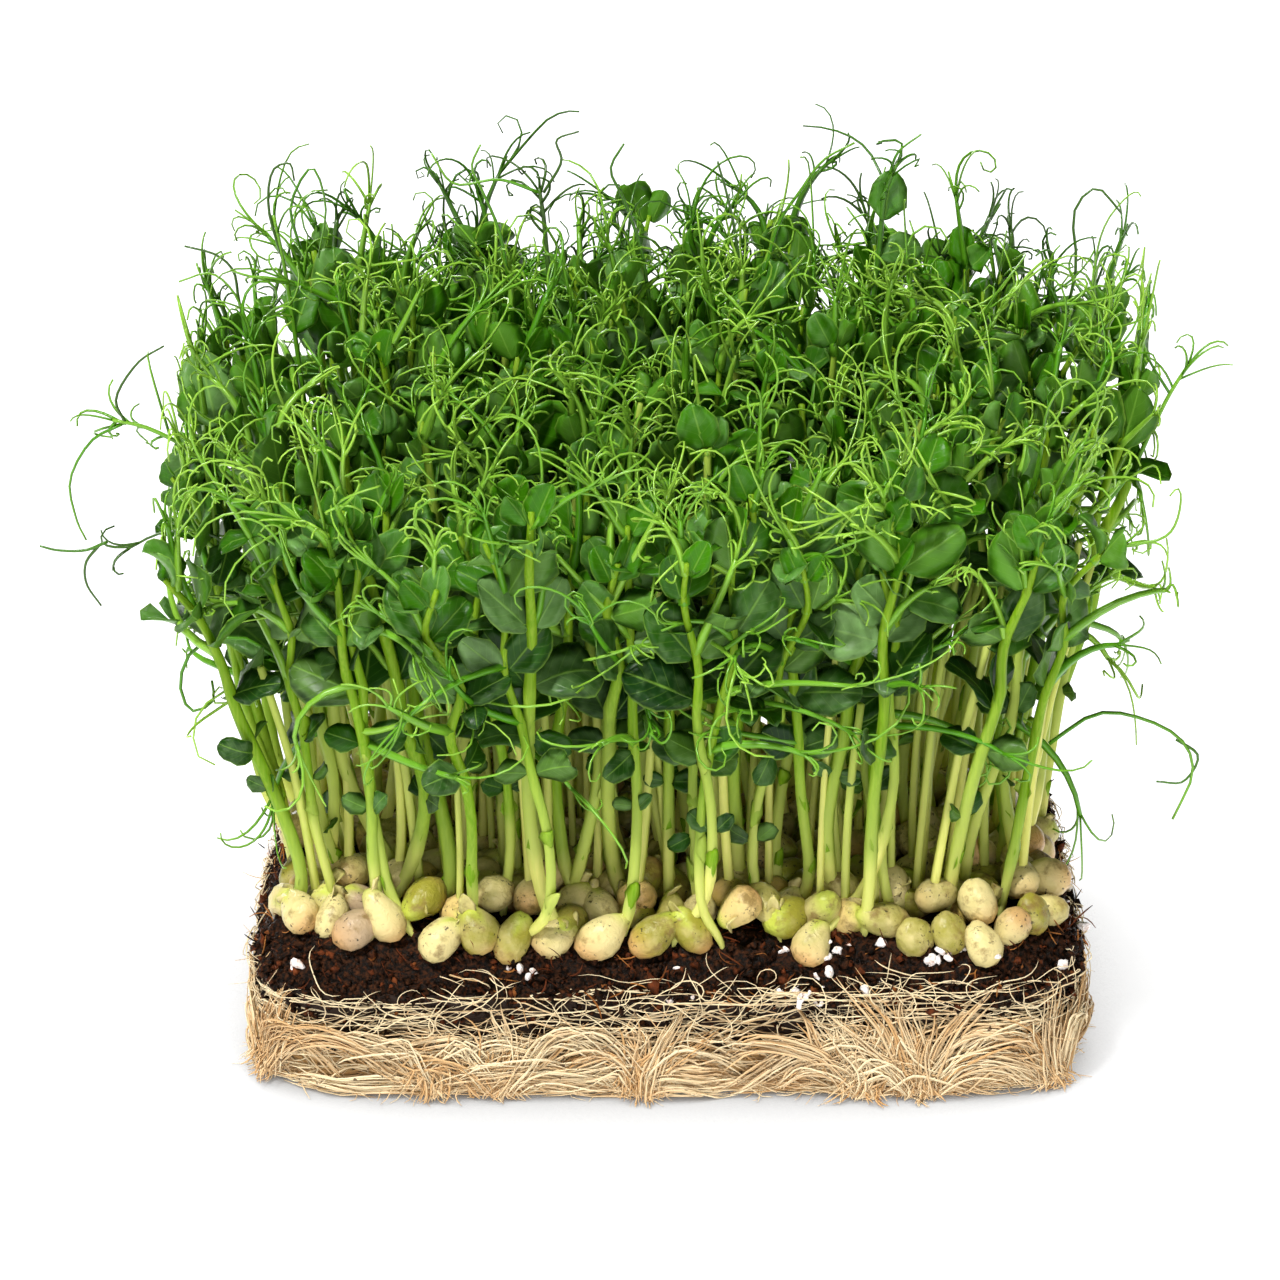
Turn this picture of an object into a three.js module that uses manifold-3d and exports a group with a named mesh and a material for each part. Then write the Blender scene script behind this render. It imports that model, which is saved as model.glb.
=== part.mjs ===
// Living pea shoots: a root-bound slab of growing medium with pea seedlings standing in it.
// Millimetres, +Z up. The origin is the centre of the slab's underside, -Y is the front.
import * as THREE from "three";
import { mergeVertices } from "three/addons/utils/BufferGeometryUtils.js";
import Module from "manifold-3d";

const wasm = await Module();
wasm.setup();

// ---- Driving dimensions ----

// The slab keeps the shape of the tray it grew in: a rounded rectangle that narrows downwards.
const SLAB_WIDTH = 186;
const SLAB_DEPTH = 134;
const SLAB_CORNER = 24;
const CORNER_STEPS = 6;
const SOIL_TOP = 36;
const MAT_HEIGHT = 25;
const MAT_WALL = 3.2;
const MAT_FLOOR = 5;
const FOOT_INSET = 4.5;
const FOOT_ROUND = 5;
const GAP = 0.3;

// Seedlings stand in staggered rows.
const ROWS = [-48, -16, 16, 48];
const ROW_COUNTS = [5, 4, 5, 4];
const COLUMN_PITCH = 37;
const GOLDEN_ANGLE = THREE.MathUtils.degToRad(137.5);

// One pea, half sunk in the medium beside its stem.
const SEED_RADIUS = 4.7;
const SEED_SUNK = 1.9;
const SEED_OFFSET = 7.2;

// One bare lower stem, from its root socket to the first leaf node.
const STEM_RADIUS = 1.7;
const STEM_TIP_RADIUS = 1.35;
const ROOT_DEPTH = 9;
const SOCKET_CLEARANCE = 0.7;
const STEM_LENGTHS = [54, 60, 64, 64];
const STEM_SIDES = 6;
const STEM_STEPS = 7;

// The canopy fans outwards from the slab.
const FAN_X = 0.09;
const FAN_Y = 0.11;

// One leafy top: the upper stem with three pairs of stipules and a bunch of tendrils.
const TOP_LENGTHS = [46, 60, 68, 66];
const TOP_RADIUS = 1.3;
const TOP_TIP_RADIUS = 0.75;
const LEAF_NODES = [0.14, 0.5, 0.84];
const LEAF_LENGTHS = [15, 14, 11.5];
const LEAF_WIDTHS = [12, 11, 8.5];
const LEAF_THICKNESS = 0.9;
const LEAF_RISE = 0.55;
const LEAF_FOLD = 0.18;
const LEAF_SECTIONS = [[0, 0.08], [0.4, 0.95], [0.8, 0.8], [1, 0.12]];
const TENDRIL_RADIUS = 0.6;
const TENDRIL_COUNT = 3;
const TENDRIL_REACH = 13;
const TENDRIL_RISE = 21;
const EDGE_TENDRIL_REACH = 31;
const EDGE_TENDRIL_RISE = 15;

// ---- Materials ----

const material = (color, roughness) =>
  new THREE.MeshStandardMaterial({ color, roughness, metalness: 0 });
const SOIL = material("#2f1d14", 0.95);
const ROOTS = material("#e2cfa6", 0.8);
const SEED = material("#d3cf9c", 0.55);
const STEM = material("#b4cf7c", 0.45);
const LEAF = material("#4f8f3c", 0.5);

// ---- Solids and geometries ----

// A closed geometry as a solid that can be joined and cut.
function solidOf(geometry) {
  const merged = mergeVertices(geometry, 1e-4);
  return new wasm.Manifold(
    new wasm.Mesh({
      numProp: 3,
      vertProperties: merged.attributes.position.array,
      triVerts: new Uint32Array(merged.index.array),
    }),
  );
}

function geometryOf(solid) {
  const mesh = solid.getMesh();
  return new THREE.BufferGeometry()
    .setAttribute("position", new THREE.BufferAttribute(mesh.vertProperties, 3))
    .setIndex(new THREE.BufferAttribute(mesh.triVerts, 1));
}

// Skins a stack of rings that have the same number of points, and closes both ends.
// Each ring runs anticlockwise when it is looked back at from the ring after it.
function loft(rings) {
  const size = rings[0].length;
  const positions = rings.flat().flatMap((point) => point.toArray());
  const faces = [];
  for (let ring = 0; ring + 1 < rings.length; ring++) {
    for (let i = 0; i < size; i++) {
      const a = ring * size + i;
      const b = ring * size + ((i + 1) % size);
      faces.push(a, b, b + size, a, b + size, a + size);
    }
  }
  const last = (rings.length - 1) * size;
  for (let i = 1; i + 1 < size; i++) {
    faces.push(0, i + 1, i, last, last + i, last + i + 1);
  }
  return new THREE.BufferGeometry()
    .setAttribute("position", new THREE.Float32BufferAttribute(positions, 3))
    .setIndex(faces);
}

// A round rod along a curve, tapering from one radius to the other.
function rod(curve, startRadius, endRadius, sides, steps) {
  const frames = curve.computeFrenetFrames(steps);
  const rings = frames.normals.map((normal, step) => {
    const centre = curve.getPointAt(step / steps);
    const radius = THREE.MathUtils.lerp(startRadius, endRadius, step / steps);
    return Array.from({ length: sides }, (_, side) => {
      const angle = (side / sides) * 2 * Math.PI;
      return centre
        .clone()
        .addScaledVector(normal, radius * Math.cos(angle))
        .addScaledVector(frames.binormals[step], radius * Math.sin(angle));
    });
  });
  return loft(rings);
}

// ---- Slab ----

// The slab's outline at one height, drawn in from the widest outline by inset.
function slabRing(inset, z) {
  const radius = SLAB_CORNER - inset;
  const x = SLAB_WIDTH / 2 - SLAB_CORNER;
  const y = SLAB_DEPTH / 2 - SLAB_CORNER;
  const centres = [[x, y], [-x, y], [-x, -y], [x, -y]];
  return centres.flatMap(([cx, cy], quarter) =>
    Array.from({ length: CORNER_STEPS + 1 }, (_, step) => {
      const angle = ((quarter + step / CORNER_STEPS) * Math.PI) / 2;
      return new THREE.Vector3(
        cx + radius * Math.cos(angle),
        cy + radius * Math.sin(angle),
        z,
      );
    }),
  );
}

// How far the tray's sloping wall stands in from the widest outline at a height.
const wallInset = (z) => FOOT_INSET * (1 - Math.min(1, z / MAT_HEIGHT));

// The felt of roots: a floor and a wall all round, open at the top, where the medium sits.
function rootMatGeometry() {
  const outer = loft([
    slabRing(wallInset(0) + FOOT_ROUND * 0.7, 0),
    slabRing(wallInset(0) + FOOT_ROUND * 0.2, FOOT_ROUND * 0.3),
    slabRing(wallInset(FOOT_ROUND), FOOT_ROUND),
    slabRing(0, MAT_HEIGHT),
  ]);
  const hollow = loft([
    slabRing(wallInset(MAT_FLOOR) + MAT_WALL, MAT_FLOOR),
    slabRing(MAT_WALL, MAT_HEIGHT),
    slabRing(MAT_WALL, MAT_HEIGHT + 1),
  ]);
  return geometryOf(solidOf(outer).subtract(solidOf(hollow)));
}

// The medium fills the mat and stands above its rim. Seeds and roots sit in its sockets.
function soilGeometry(sockets) {
  const inset = MAT_WALL + GAP;
  const block = loft([
    slabRing(wallInset(MAT_FLOOR + GAP) + inset, MAT_FLOOR + GAP),
    slabRing(inset, MAT_HEIGHT),
    slabRing(inset, SOIL_TOP - 1.5),
    slabRing(inset + 1.5, SOIL_TOP),
  ]);
  return geometryOf(sockets.reduce((soil, cut) => soil.subtract(cut), solidOf(block)));
}

// ---- Seedlings ----

// Where each seedling stands, and its own turn and lean, by its place in the rows.
const seedlings = ROWS.flatMap((y, row) =>
  Array.from({ length: ROW_COUNTS[row] }, (_, column) => ({
    row,
    x: (column - (ROW_COUNTS[row] - 1) / 2) * COLUMN_PITCH,
    y,
    atEdge:
      row === 0 || row === ROWS.length - 1 || column === 0 || column === ROW_COUNTS[row] - 1,
  })),
).map((seedling, index) => ({
  ...seedling,
  label: String(index + 1).padStart(2, "0"),
  turn: index * GOLDEN_ANGLE,
  wobble: Math.sin(index * 2.4),
}));

// A pea is a little wider than it is tall.
function seedGeometry({ x, y, turn }, clearance = 0) {
  const radius = SEED_RADIUS + clearance;
  return new THREE.SphereGeometry(1, 9, 6)
    .rotateX(Math.PI / 2)
    .scale(radius, radius * 0.92, radius * 0.88)
    .rotateZ(turn)
    .translate(
      x + SEED_OFFSET * Math.cos(turn),
      y + SEED_OFFSET * Math.sin(turn),
      SOIL_TOP + radius * 0.88 - SEED_SUNK - clearance,
    );
}

// The lower stem leaves its socket leaning away from the pea, then straightens and fans out.
function stemCurve({ row, x, y, turn, wobble }) {
  const length = STEM_LENGTHS[row];
  const away = new THREE.Vector2(-Math.cos(turn), -Math.sin(turn));
  const at = (share, drift) =>
    new THREE.Vector3(
      x * (1 + FAN_X * share * share) + away.x * drift,
      y * (1 + FAN_Y * share * share) + away.y * drift,
      SOIL_TOP + length * share,
    );
  return new THREE.CatmullRomCurve3([
    new THREE.Vector3(x, y, SOIL_TOP - ROOT_DEPTH),
    new THREE.Vector3(x, y, SOIL_TOP),
    at(0.25, 2 + wobble),
    at(0.6, 2.6 + wobble * 1.5),
    at(1, 1.2 + wobble),
  ]);
}

function socketOf(seedling) {
  const { x, y } = seedling;
  const root = new THREE.LineCurve3(
    new THREE.Vector3(x, y, SOIL_TOP - ROOT_DEPTH - GAP),
    new THREE.Vector3(x, y, SOIL_TOP + 1),
  );
  const radius = STEM_RADIUS + SOCKET_CLEARANCE;
  return [
    solidOf(rod(root, radius, radius, STEM_SIDES, 1)),
    solidOf(stripped(seedGeometry(seedling, GAP))),
  ];
}

// A geometry with its positions only, so that its shared corners can merge.
function stripped(geometry) {
  geometry.deleteAttribute("normal");
  geometry.deleteAttribute("uv");
  return geometry;
}

// The upper stem carries on from the lower one, a gap above it.
function topCurve(seedling) {
  const { row, turn } = seedling;
  const lower = stemCurve(seedling);
  const start = lower.getPointAt(1);
  const heading = lower.getTangentAt(1);
  const length = TOP_LENGTHS[row];
  start.addScaledVector(heading, GAP + 0.2);
  const bend = new THREE.Vector3(Math.cos(turn), Math.sin(turn), 0);
  return new THREE.CatmullRomCurve3([
    start,
    start.clone().addScaledVector(heading, length * 0.5).addScaledVector(bend, 1.5),
    start.clone().addScaledVector(heading, length).addScaledVector(bend, 3),
  ]);
}

// One stipule: a thin folded blade along a bent midrib, narrow at its foot and round at its end.
function leafSolid(base, outward, length, width) {
  const up = new THREE.Vector3(0, 0, 1);
  const side = new THREE.Vector3().crossVectors(up, outward).normalize();
  const midrib = new THREE.QuadraticBezierCurve3(
    base.clone().addScaledVector(outward, 0.3),
    base.clone().addScaledVector(outward, length * 0.55).addScaledVector(up, length * LEAF_RISE),
    base.clone().addScaledVector(outward, length).addScaledVector(up, length * LEAF_RISE * 0.7),
  );
  const rings = LEAF_SECTIONS.map(([share, spread]) => {
    const centre = midrib.getPoint(share);
    const across = new THREE.Vector3().crossVectors(side, midrib.getTangent(share)).normalize();
    const half = (width * spread) / 2;
    const lift = half * LEAF_FOLD;
    const thick = (LEAF_THICKNESS * (0.4 + 0.6 * spread)) / 2;
    const place = (along, height) =>
      centre.clone().addScaledVector(side, along).addScaledVector(across, -height);
    return [place(-half, lift), place(0, -thick), place(half, lift), place(0, thick)];
  });
  return solidOf(loft(rings));
}

// One tendril: it springs outwards and up from the tip, and its end hooks over.
function tendrilSolid(tip, heading, reach, rise) {
  const at = (share, height) =>
    tip
      .clone()
      .addScaledVector(heading, reach * share)
      .add(new THREE.Vector3(0, 0, height));
  const curve = new THREE.CatmullRomCurve3([
    at(0.02, -0.6),
    at(0.3, rise * 0.55),
    at(0.75, rise),
    at(1, rise * 0.82),
  ]);
  return solidOf(rod(curve, TENDRIL_RADIUS, TENDRIL_RADIUS * 0.7, 3, 4));
}

function leafyTopGeometry(seedling) {
  const { x, y, turn, atEdge } = seedling;
  const curve = topCurve(seedling);
  const pieces = [solidOf(rod(curve, TOP_RADIUS, TOP_TIP_RADIUS, 4, 3))];
  LEAF_NODES.forEach((share, node) => {
    const base = curve.getPointAt(share);
    for (const side of [0, Math.PI]) {
      const angle = turn + (node * Math.PI) / 2 + side;
      const outward = new THREE.Vector3(Math.cos(angle), Math.sin(angle), 0);
      pieces.push(leafSolid(base, outward, LEAF_LENGTHS[node], LEAF_WIDTHS[node]));
    }
  });
  const tip = curve.getPointAt(1);
  const outwards = Math.atan2(y, x);
  for (let i = 0; i < TENDRIL_COUNT; i++) {
    const angle = (atEdge ? outwards : turn) + (i * 2 * Math.PI) / TENDRIL_COUNT;
    const heading = new THREE.Vector3(Math.cos(angle), Math.sin(angle), 0);
    const long = atEdge && i === 0;
    const reach = long ? EDGE_TENDRIL_REACH : TENDRIL_REACH;
    const rise = long ? EDGE_TENDRIL_RISE : TENDRIL_RISE;
    pieces.push(tendrilSolid(tip, heading, reach, rise));
  }
  return geometryOf(pieces.reduce((whole, piece) => whole.add(piece)));
}

// ---- Assembly ----

const peaShoots = new THREE.Group();

function place(name, geometry, finish) {
  const mesh = new THREE.Mesh(geometry, finish);
  mesh.name = name;
  peaShoots.add(mesh);
}

place("root_mat", rootMatGeometry(), ROOTS);
place("soil_block", soilGeometry(seedlings.flatMap(socketOf)), SOIL);
for (const seedling of seedlings) {
  const lower = rod(stemCurve(seedling), STEM_RADIUS, STEM_TIP_RADIUS, STEM_SIDES, STEM_STEPS);
  place(`pea_seed_${seedling.label}`, seedGeometry(seedling), SEED);
  place(`stem_${seedling.label}`, lower, STEM);
  place(`leafy_top_${seedling.label}`, leafyTopGeometry(seedling), LEAF);
}

export default peaShoots;
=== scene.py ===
"""Living pea shoots: a root-bound slab with sprouted peas, bare stems, leaves and tendrils.

The working unit is the millimetre, turned to metres when a mesh is made. The axes are the frame's
own: +Z up, -Y the front, the origin under the middle of the slab.
"""

import math

import bpy
import numpy as np
from bpy.props import FloatProperty, FloatVectorProperty, IntProperty, PointerProperty
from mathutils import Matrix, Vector


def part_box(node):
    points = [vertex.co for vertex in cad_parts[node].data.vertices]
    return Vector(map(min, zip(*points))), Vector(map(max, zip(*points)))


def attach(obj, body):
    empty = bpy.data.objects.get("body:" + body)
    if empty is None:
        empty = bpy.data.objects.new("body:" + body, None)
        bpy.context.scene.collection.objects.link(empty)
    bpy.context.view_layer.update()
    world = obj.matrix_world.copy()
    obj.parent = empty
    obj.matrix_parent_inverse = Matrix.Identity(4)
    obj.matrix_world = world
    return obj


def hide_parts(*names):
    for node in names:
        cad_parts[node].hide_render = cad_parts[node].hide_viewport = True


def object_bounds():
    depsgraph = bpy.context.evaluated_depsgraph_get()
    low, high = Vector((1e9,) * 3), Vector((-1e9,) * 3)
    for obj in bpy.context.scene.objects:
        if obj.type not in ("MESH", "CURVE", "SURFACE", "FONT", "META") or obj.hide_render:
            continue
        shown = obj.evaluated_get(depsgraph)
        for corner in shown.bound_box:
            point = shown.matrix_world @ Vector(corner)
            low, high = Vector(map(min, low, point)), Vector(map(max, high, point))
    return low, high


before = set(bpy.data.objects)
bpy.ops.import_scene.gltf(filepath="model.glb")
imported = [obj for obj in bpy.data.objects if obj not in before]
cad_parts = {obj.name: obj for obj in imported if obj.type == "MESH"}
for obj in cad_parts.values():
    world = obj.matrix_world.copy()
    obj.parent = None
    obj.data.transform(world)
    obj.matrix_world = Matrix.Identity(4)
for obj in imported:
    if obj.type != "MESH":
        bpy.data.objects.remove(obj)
CAD_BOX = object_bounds()

bl_info = {
    "name": "Living pea shoots",
    "version": (1, 0, 0),
    "blender": (4, 5, 0),
    "location": "3D View > Sidebar > Pea shoots",
    "description": "Grows a slab of pea shoots: roots, medium, peas, stems, leaves and tendrils",
    "category": "Add Mesh",
}

MM = 0.001
# One seed for each step, so that every run grows the same plants.
SEEDS = {
    "medium": 1, "stand": 2, "roots": 3, "peas": 4, "stems": 5, "leaves": 6, "tendrils": 8,
    "stalks": 9, "strays": 10, "late shoots": 11, "hanks": 12,
}


def seeded(step):
    """The random numbers of one step."""
    return np.random.default_rng(SEEDS[step])


def linear(code):
    """An sRGB hex colour as the linear red, green and blue that shaders work in."""
    channels = [int(code[i : i + 2], 16) / 255 for i in (1, 3, 5)]
    return tuple(c / 12.92 if c <= 0.04045 else ((c + 0.055) / 1.055) ** 2.4 for c in channels)


def size(name, description, millimetres):
    """A length that a user can change."""
    return FloatProperty(
        name=name, description=description, default=millimetres * MM, min=0.0, unit="LENGTH"
    )


def count(name, description, number):
    """A number of like things that a user can change."""
    return IntProperty(name=name, description=description, default=number, min=0)


def colour(name, description, code):
    """A colour that a user can change."""
    return FloatVectorProperty(
        name=name, description=description, default=linear(code), size=3, min=0, max=1,
        subtype="COLOR",
    )


# ---- What a user can change ----


class SlabSettings(bpy.types.PropertyGroup):
    """Sizes and colours of the medium and of the mat of roots round it."""

    root_width: size("Root width", "Width of a root in the mat", 0.43)
    felt_roots: count("Felt roots", "Roots that lie along the wall of the mat", 1900)
    hank_pitch: size("Hank pitch", "Distance between the hanks of combed roots", 31)
    hank_roots: count("Hank roots", "Roots in each hank", 187)
    loose_roots: count("Loose roots", "Thin white roots that climb over the medium", 420)
    root_tips: count("Root tips", "Broken ends that stick out of the mat", 520)
    crumbs: count("Crumbs", "Chips of medium that lie on its surface", 6000)
    coir_fibres: count("Coir fibres", "Coir threads that lie on the medium", 700)
    perlite_grains: count("Perlite grains", "White grains in the medium", 170)
    perlite_size: size("Perlite size", "Width of a perlite grain", 3.1)
    root_pale: colour("Pale root", "Fresh root", "#EBD8B0")
    root_tan: colour("Tan root", "Older root", "#CEA36C")
    medium_dark: colour("Dark medium", "Damp coir and peat", "#0B0603")
    medium_red: colour("Red medium", "Coir chips and fibres", "#653117")
    perlite_white: colour("Perlite", "Perlite grain", "#EFE7E2")


class PlantSettings(bpy.types.PropertyGroup):
    """Sizes and colours of the peas and the shoots."""

    row_pitch: size("Row pitch", "Distance between rows of plants", 10.67)
    plant_pitch: size("Plant pitch", "Distance between plants in a row", 11.3)
    pea_width: size("Pea width", "Width of a soaked pea", 9.2)
    stem_width: size("Stem width", "Width of a stem above the medium", 3.1)
    leaf_length: size("Leaf length", "Length of a grown leaf", 16)
    leaf_width: size("Leaf width", "Width of a grown leaf", 12.5)
    tendril_width: size("Tendril width", "Width of a tendril at its foot", 0.78)
    pea_cream: colour("Cream pea", "Pale seed coat", "#D5C588")
    pea_olive: colour("Olive pea", "Greenish seed coat", "#908A30")
    pea_ochre: colour("Ochre pea", "Yellow seed coat", "#D0A348")
    stem_foot: colour("Stem foot", "Blanched foot of a stem", "#F3F08C")
    stem_green: colour("Green stem", "Stem in the light", "#7CAA14")
    leaf_deep: colour("Deep leaf", "Old leaf low in the canopy", "#09270C")
    leaf_fresh: colour("Fresh leaf", "Young leaf at the tip", "#3D7A05")
    tendril_green: colour("Tendril", "Tendril and leaf stalk", "#4C8C12")
    tendril_tip: colour("Tendril tip", "Fine end of a tendril", "#A2CE48")


class StageSettings(bpy.types.PropertyGroup):
    """The camera, the lights and the floor."""

    camera_distance: size("Camera distance", "From the middle of the plants to the camera", 1000)
    camera_elevation: FloatProperty(
        name="Camera elevation", description="Angle above the horizon",
        default=math.radians(20), subtype="ANGLE",
    )
    lens: FloatProperty(
        name="Lens", description="Focal length", default=122.3, subtype="DISTANCE_CAMERA"
    )
    floor: colour("Floor", "Opal acrylic floor", "#FAFAFA")
    floor_glow: FloatProperty(
        name="Floor glow", description="Light that comes up through the floor", default=2.1, min=0
    )


# ---- Meshes from arrays ----


class Batch:
    """Many bodies with the same faces: corners is (bodies, corners, 3) in millimetres, faces is a
    list of arrays of corner numbers, owner says which plant each body belongs to, and values hold
    one number per corner of each body."""

    def __init__(self, corners, faces, owner=None, **values):
        self.corners = corners
        self.faces = faces
        self.owner = np.zeros(len(corners), int) if owner is None else owner
        self.values = {
            name: np.broadcast_to(value, corners.shape[:2]) for name, value in values.items()
        }

    def of(self, owners):
        """The bodies that belong to these plants."""
        keep = np.isin(self.owner, owners)
        kept = {name: value[keep] for name, value in self.values.items()}
        return Batch(self.corners[keep], self.faces, self.owner[keep], **kept)


def make_piece(name, batches, material, replaces=()):
    """One smooth mesh object of the batches' bodies, riding on the frame."""
    start, corners, loops, sizes = 0, [], [], []
    for batch in batches:
        bodies, each = batch.corners.shape[:2]
        first = start + np.arange(bodies)[:, None, None] * each
        for faces in batch.faces:
            loops.append((faces[None] + first).ravel())
            sizes.append(np.full(bodies * len(faces), faces.shape[1]))
        corners.append(batch.corners.reshape(-1, 3))
        start += bodies * each
    corners, loops, sizes = map(np.concatenate, (corners, loops, sizes))

    mesh = bpy.data.meshes.new(name)
    mesh.vertices.add(len(corners))
    mesh.vertices.foreach_set("co", (corners * MM).ravel())
    mesh.loops.add(len(loops))
    mesh.loops.foreach_set("vertex_index", loops)
    mesh.polygons.add(len(sizes))
    mesh.polygons.foreach_set("loop_start", np.cumsum(sizes) - sizes)
    mesh.polygons.foreach_set("use_smooth", np.ones(len(sizes), bool))
    mesh.update(calc_edges=True)
    for value in batches[0].values:
        numbers = np.concatenate([batch.values[value].ravel() for batch in batches])
        mesh.attributes.new(value, "FLOAT", "POINT").data.foreach_set("value", numbers)
    mesh.materials.append(material)

    piece = bpy.data.objects.new(name, mesh)
    bpy.context.scene.collection.objects.link(piece)
    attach(piece, "root")
    if replaces:
        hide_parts(*replaces)
    return piece


def unit(vectors):
    """The same directions at unit length."""
    return vectors / np.maximum(np.linalg.norm(vectors, axis=-1, keepdims=True), 1e-9)


def across(vectors, like):
    """The part of each vector that is square to the other one, at unit length."""
    return unit(vectors - np.sum(vectors * like, -1, keepdims=True) * like)


def compass(azimuth, elevation=0.0):
    """Unit vectors that point along an azimuth and above the horizon, both in radians."""
    azimuth, elevation = np.broadcast_arrays(azimuth, elevation)
    flat = np.cos(elevation)
    return np.stack([flat * np.cos(azimuth), flat * np.sin(azimuth), np.sin(elevation)], -1)


def smooth_path(controls, rings):
    """Catmull-Rom curves through controls (curves, controls, 3), as evenly numbered points."""
    padded = np.concatenate(
        [2 * controls[:, :1] - controls[:, 1:2], controls, 2 * controls[:, -1:] - controls[:, -2:-1]],
        axis=1,
    )
    place = np.linspace(0, controls.shape[1] - 1, rings)
    first = np.minimum(place.astype(int), controls.shape[1] - 2)
    t = (place - first)[None, :, None]
    a, b, c, d = (padded[:, first + i] for i in range(4))
    return 0.5 * (
        2 * b + (c - a) * t + (2 * a - 5 * b + 4 * c - d) * t**2 + (3 * b - a - 3 * c + d) * t**3
    )


def point_on(paths, share):
    """The point on each path at a share of its length in rings, and the direction there."""
    place = np.clip(share, 0, 0.999) * (paths.shape[1] - 1)
    first = place.astype(int)
    rows = np.arange(len(paths))
    a, b = paths[rows, first], paths[rows, first + 1]
    return a + (b - a) * (place - first)[:, None], unit(b - a)


def curling_paths(start, heading, axis, length, turn, rings, tighten=1.0, pitch=0.0):
    """Paths that leave start along heading and bend round axis by turn radians, more and more
    tightly towards the end where tighten is over 1. Pitch draws the curl out along its axis."""
    share = np.linspace(0, 1, rings)
    angle = (turn[:, None] * share**tighten)[..., None]
    side = np.cross(axis, heading)
    steps = heading[:, None] * np.cos(angle) + side[:, None] * np.sin(angle)
    steps = unit(steps + axis[:, None] * pitch) * (length / (rings - 1))[:, None, None]
    middles = (steps[:, 1:] + steps[:, :-1]) / 2
    return start[:, None] + np.concatenate(
        [np.zeros_like(start)[:, None], np.cumsum(middles, axis=1)], axis=1
    )


def sleeve(rings, sides):
    """The faces of a closed sleeve of rings: its wall, and a cap at each end."""
    ring, side = (grid.ravel() for grid in np.mgrid[: rings - 1, :sides])
    near, far = ring * sides + side, ring * sides + (side + 1) % sides
    walls = np.stack([near, far, far + sides, near + sides], -1)
    ends = np.array([np.arange(sides)[::-1], (rings - 1) * sides + np.arange(sides)])
    return [walls, ends]


def unit_ball(latitudes, sides):
    """The corners and faces of a ball of radius 1, with rings at latitudes and a point at each
    pole."""
    around = np.arange(sides) / sides * 2 * math.pi
    bands = compass(around[None], latitudes[:, None]).reshape(-1, 3)
    corners = np.concatenate([[[0, 0, -1.0]], bands, [[0, 0, 1.0]]])
    side = np.arange(sides)
    beside = (side + 1) % sides
    row = np.arange(len(latitudes) - 1)[:, None] * sides + 1
    walls = np.stack([row + side, row + beside, row + beside + sides, row + side + sides], -1)
    last = (len(latitudes) - 1) * sides + 1
    below = np.stack([np.zeros(sides, int), 1 + beside, 1 + side], -1)
    above = np.stack([last + side, last + beside, np.full(sides, len(corners) - 1)], -1)
    return corners, [np.concatenate([below, above]), walls.reshape(-1, 4)]


def tubes(paths, radii, sides, owner=None, **values):
    """Closed round tubes along paths (tubes, rings, 3). A value is one per tube or per ring."""
    total, rings = paths.shape[:2]
    forward = np.empty_like(paths)
    forward[:, 1:-1] = paths[:, 2:] - paths[:, :-2]
    forward[:, 0] = paths[:, 1] - paths[:, 0]
    forward[:, -1] = paths[:, -1] - paths[:, -2]
    forward = unit(forward)
    least = np.eye(3)[np.argmin(np.abs(forward[:, 0]), axis=1)]
    normal = across(least, forward[:, 0])
    corners = np.empty((total, rings, sides, 3))
    turns = np.arange(sides) / sides * 2 * math.pi
    radii = np.broadcast_to(radii, (total, rings))
    for ring in range(rings):
        normal = across(normal, forward[:, ring])
        binormal = np.cross(forward[:, ring], normal)
        spoke = normal[:, None] * np.cos(turns)[:, None] + binormal[:, None] * np.sin(turns)[:, None]
        corners[:, ring] = paths[:, ring, None] + spoke * radii[:, ring, None, None]

    def per_corner(value):
        value = np.asarray(value, float)
        value = value[:, None] if value.ndim == 1 else value
        return np.repeat(np.broadcast_to(value, (total, rings)), sides, axis=1)

    values.setdefault("along", np.broadcast_to(np.linspace(0, 1, rings), (total, rings)))
    return Batch(
        corners.reshape(total, rings * sides, 3),
        sleeve(rings, sides),
        owner,
        **{name: per_corner(value) for name, value in values.items()},
    )


def lumps(points, width, seed):
    """Smooth noise from -1 to 1 with lumps of one width in millimetres, the same on every run."""
    cells = 32
    lattice = np.random.default_rng(seed).uniform(-1, 1, (cells, cells, cells))
    cell = np.floor(points / width).astype(int)
    share = points / width - cell
    share = share * share * (3 - 2 * share)
    total = 0.0
    for corner in np.ndindex(2, 2, 2):
        weight = np.prod(np.where(corner, share, 1 - share), axis=-1)
        total = total + weight * lattice[tuple(((cell + corner) % cells)[..., i] for i in range(3))]
    return total


# ---- The slab's shape, from the frame ----

MAT_HIGH = np.array(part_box("root_mat")[1]) / MM
MEDIUM_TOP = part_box("soil_block")[1].z / MM
MAT_TOP = MAT_HIGH[2]
HALF_WIDTH, HALF_DEPTH = MAT_HIGH[:2]
CORNER = 24.0

# How far the slab's skin stands in from its widest outline, by height. Above the mat's top it is
# the crumbled shoulder of the medium.
SKIN_HEIGHTS = [0, 1.5, 5, MAT_TOP, MAT_TOP + 2, MAT_TOP + 5, MEDIUM_TOP - 2.5, MEDIUM_TOP, 60]
SKIN_INSETS = [8, 5.4, 3.6, 0, 1.0, 2.6, 5.2, 9, 9]


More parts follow.
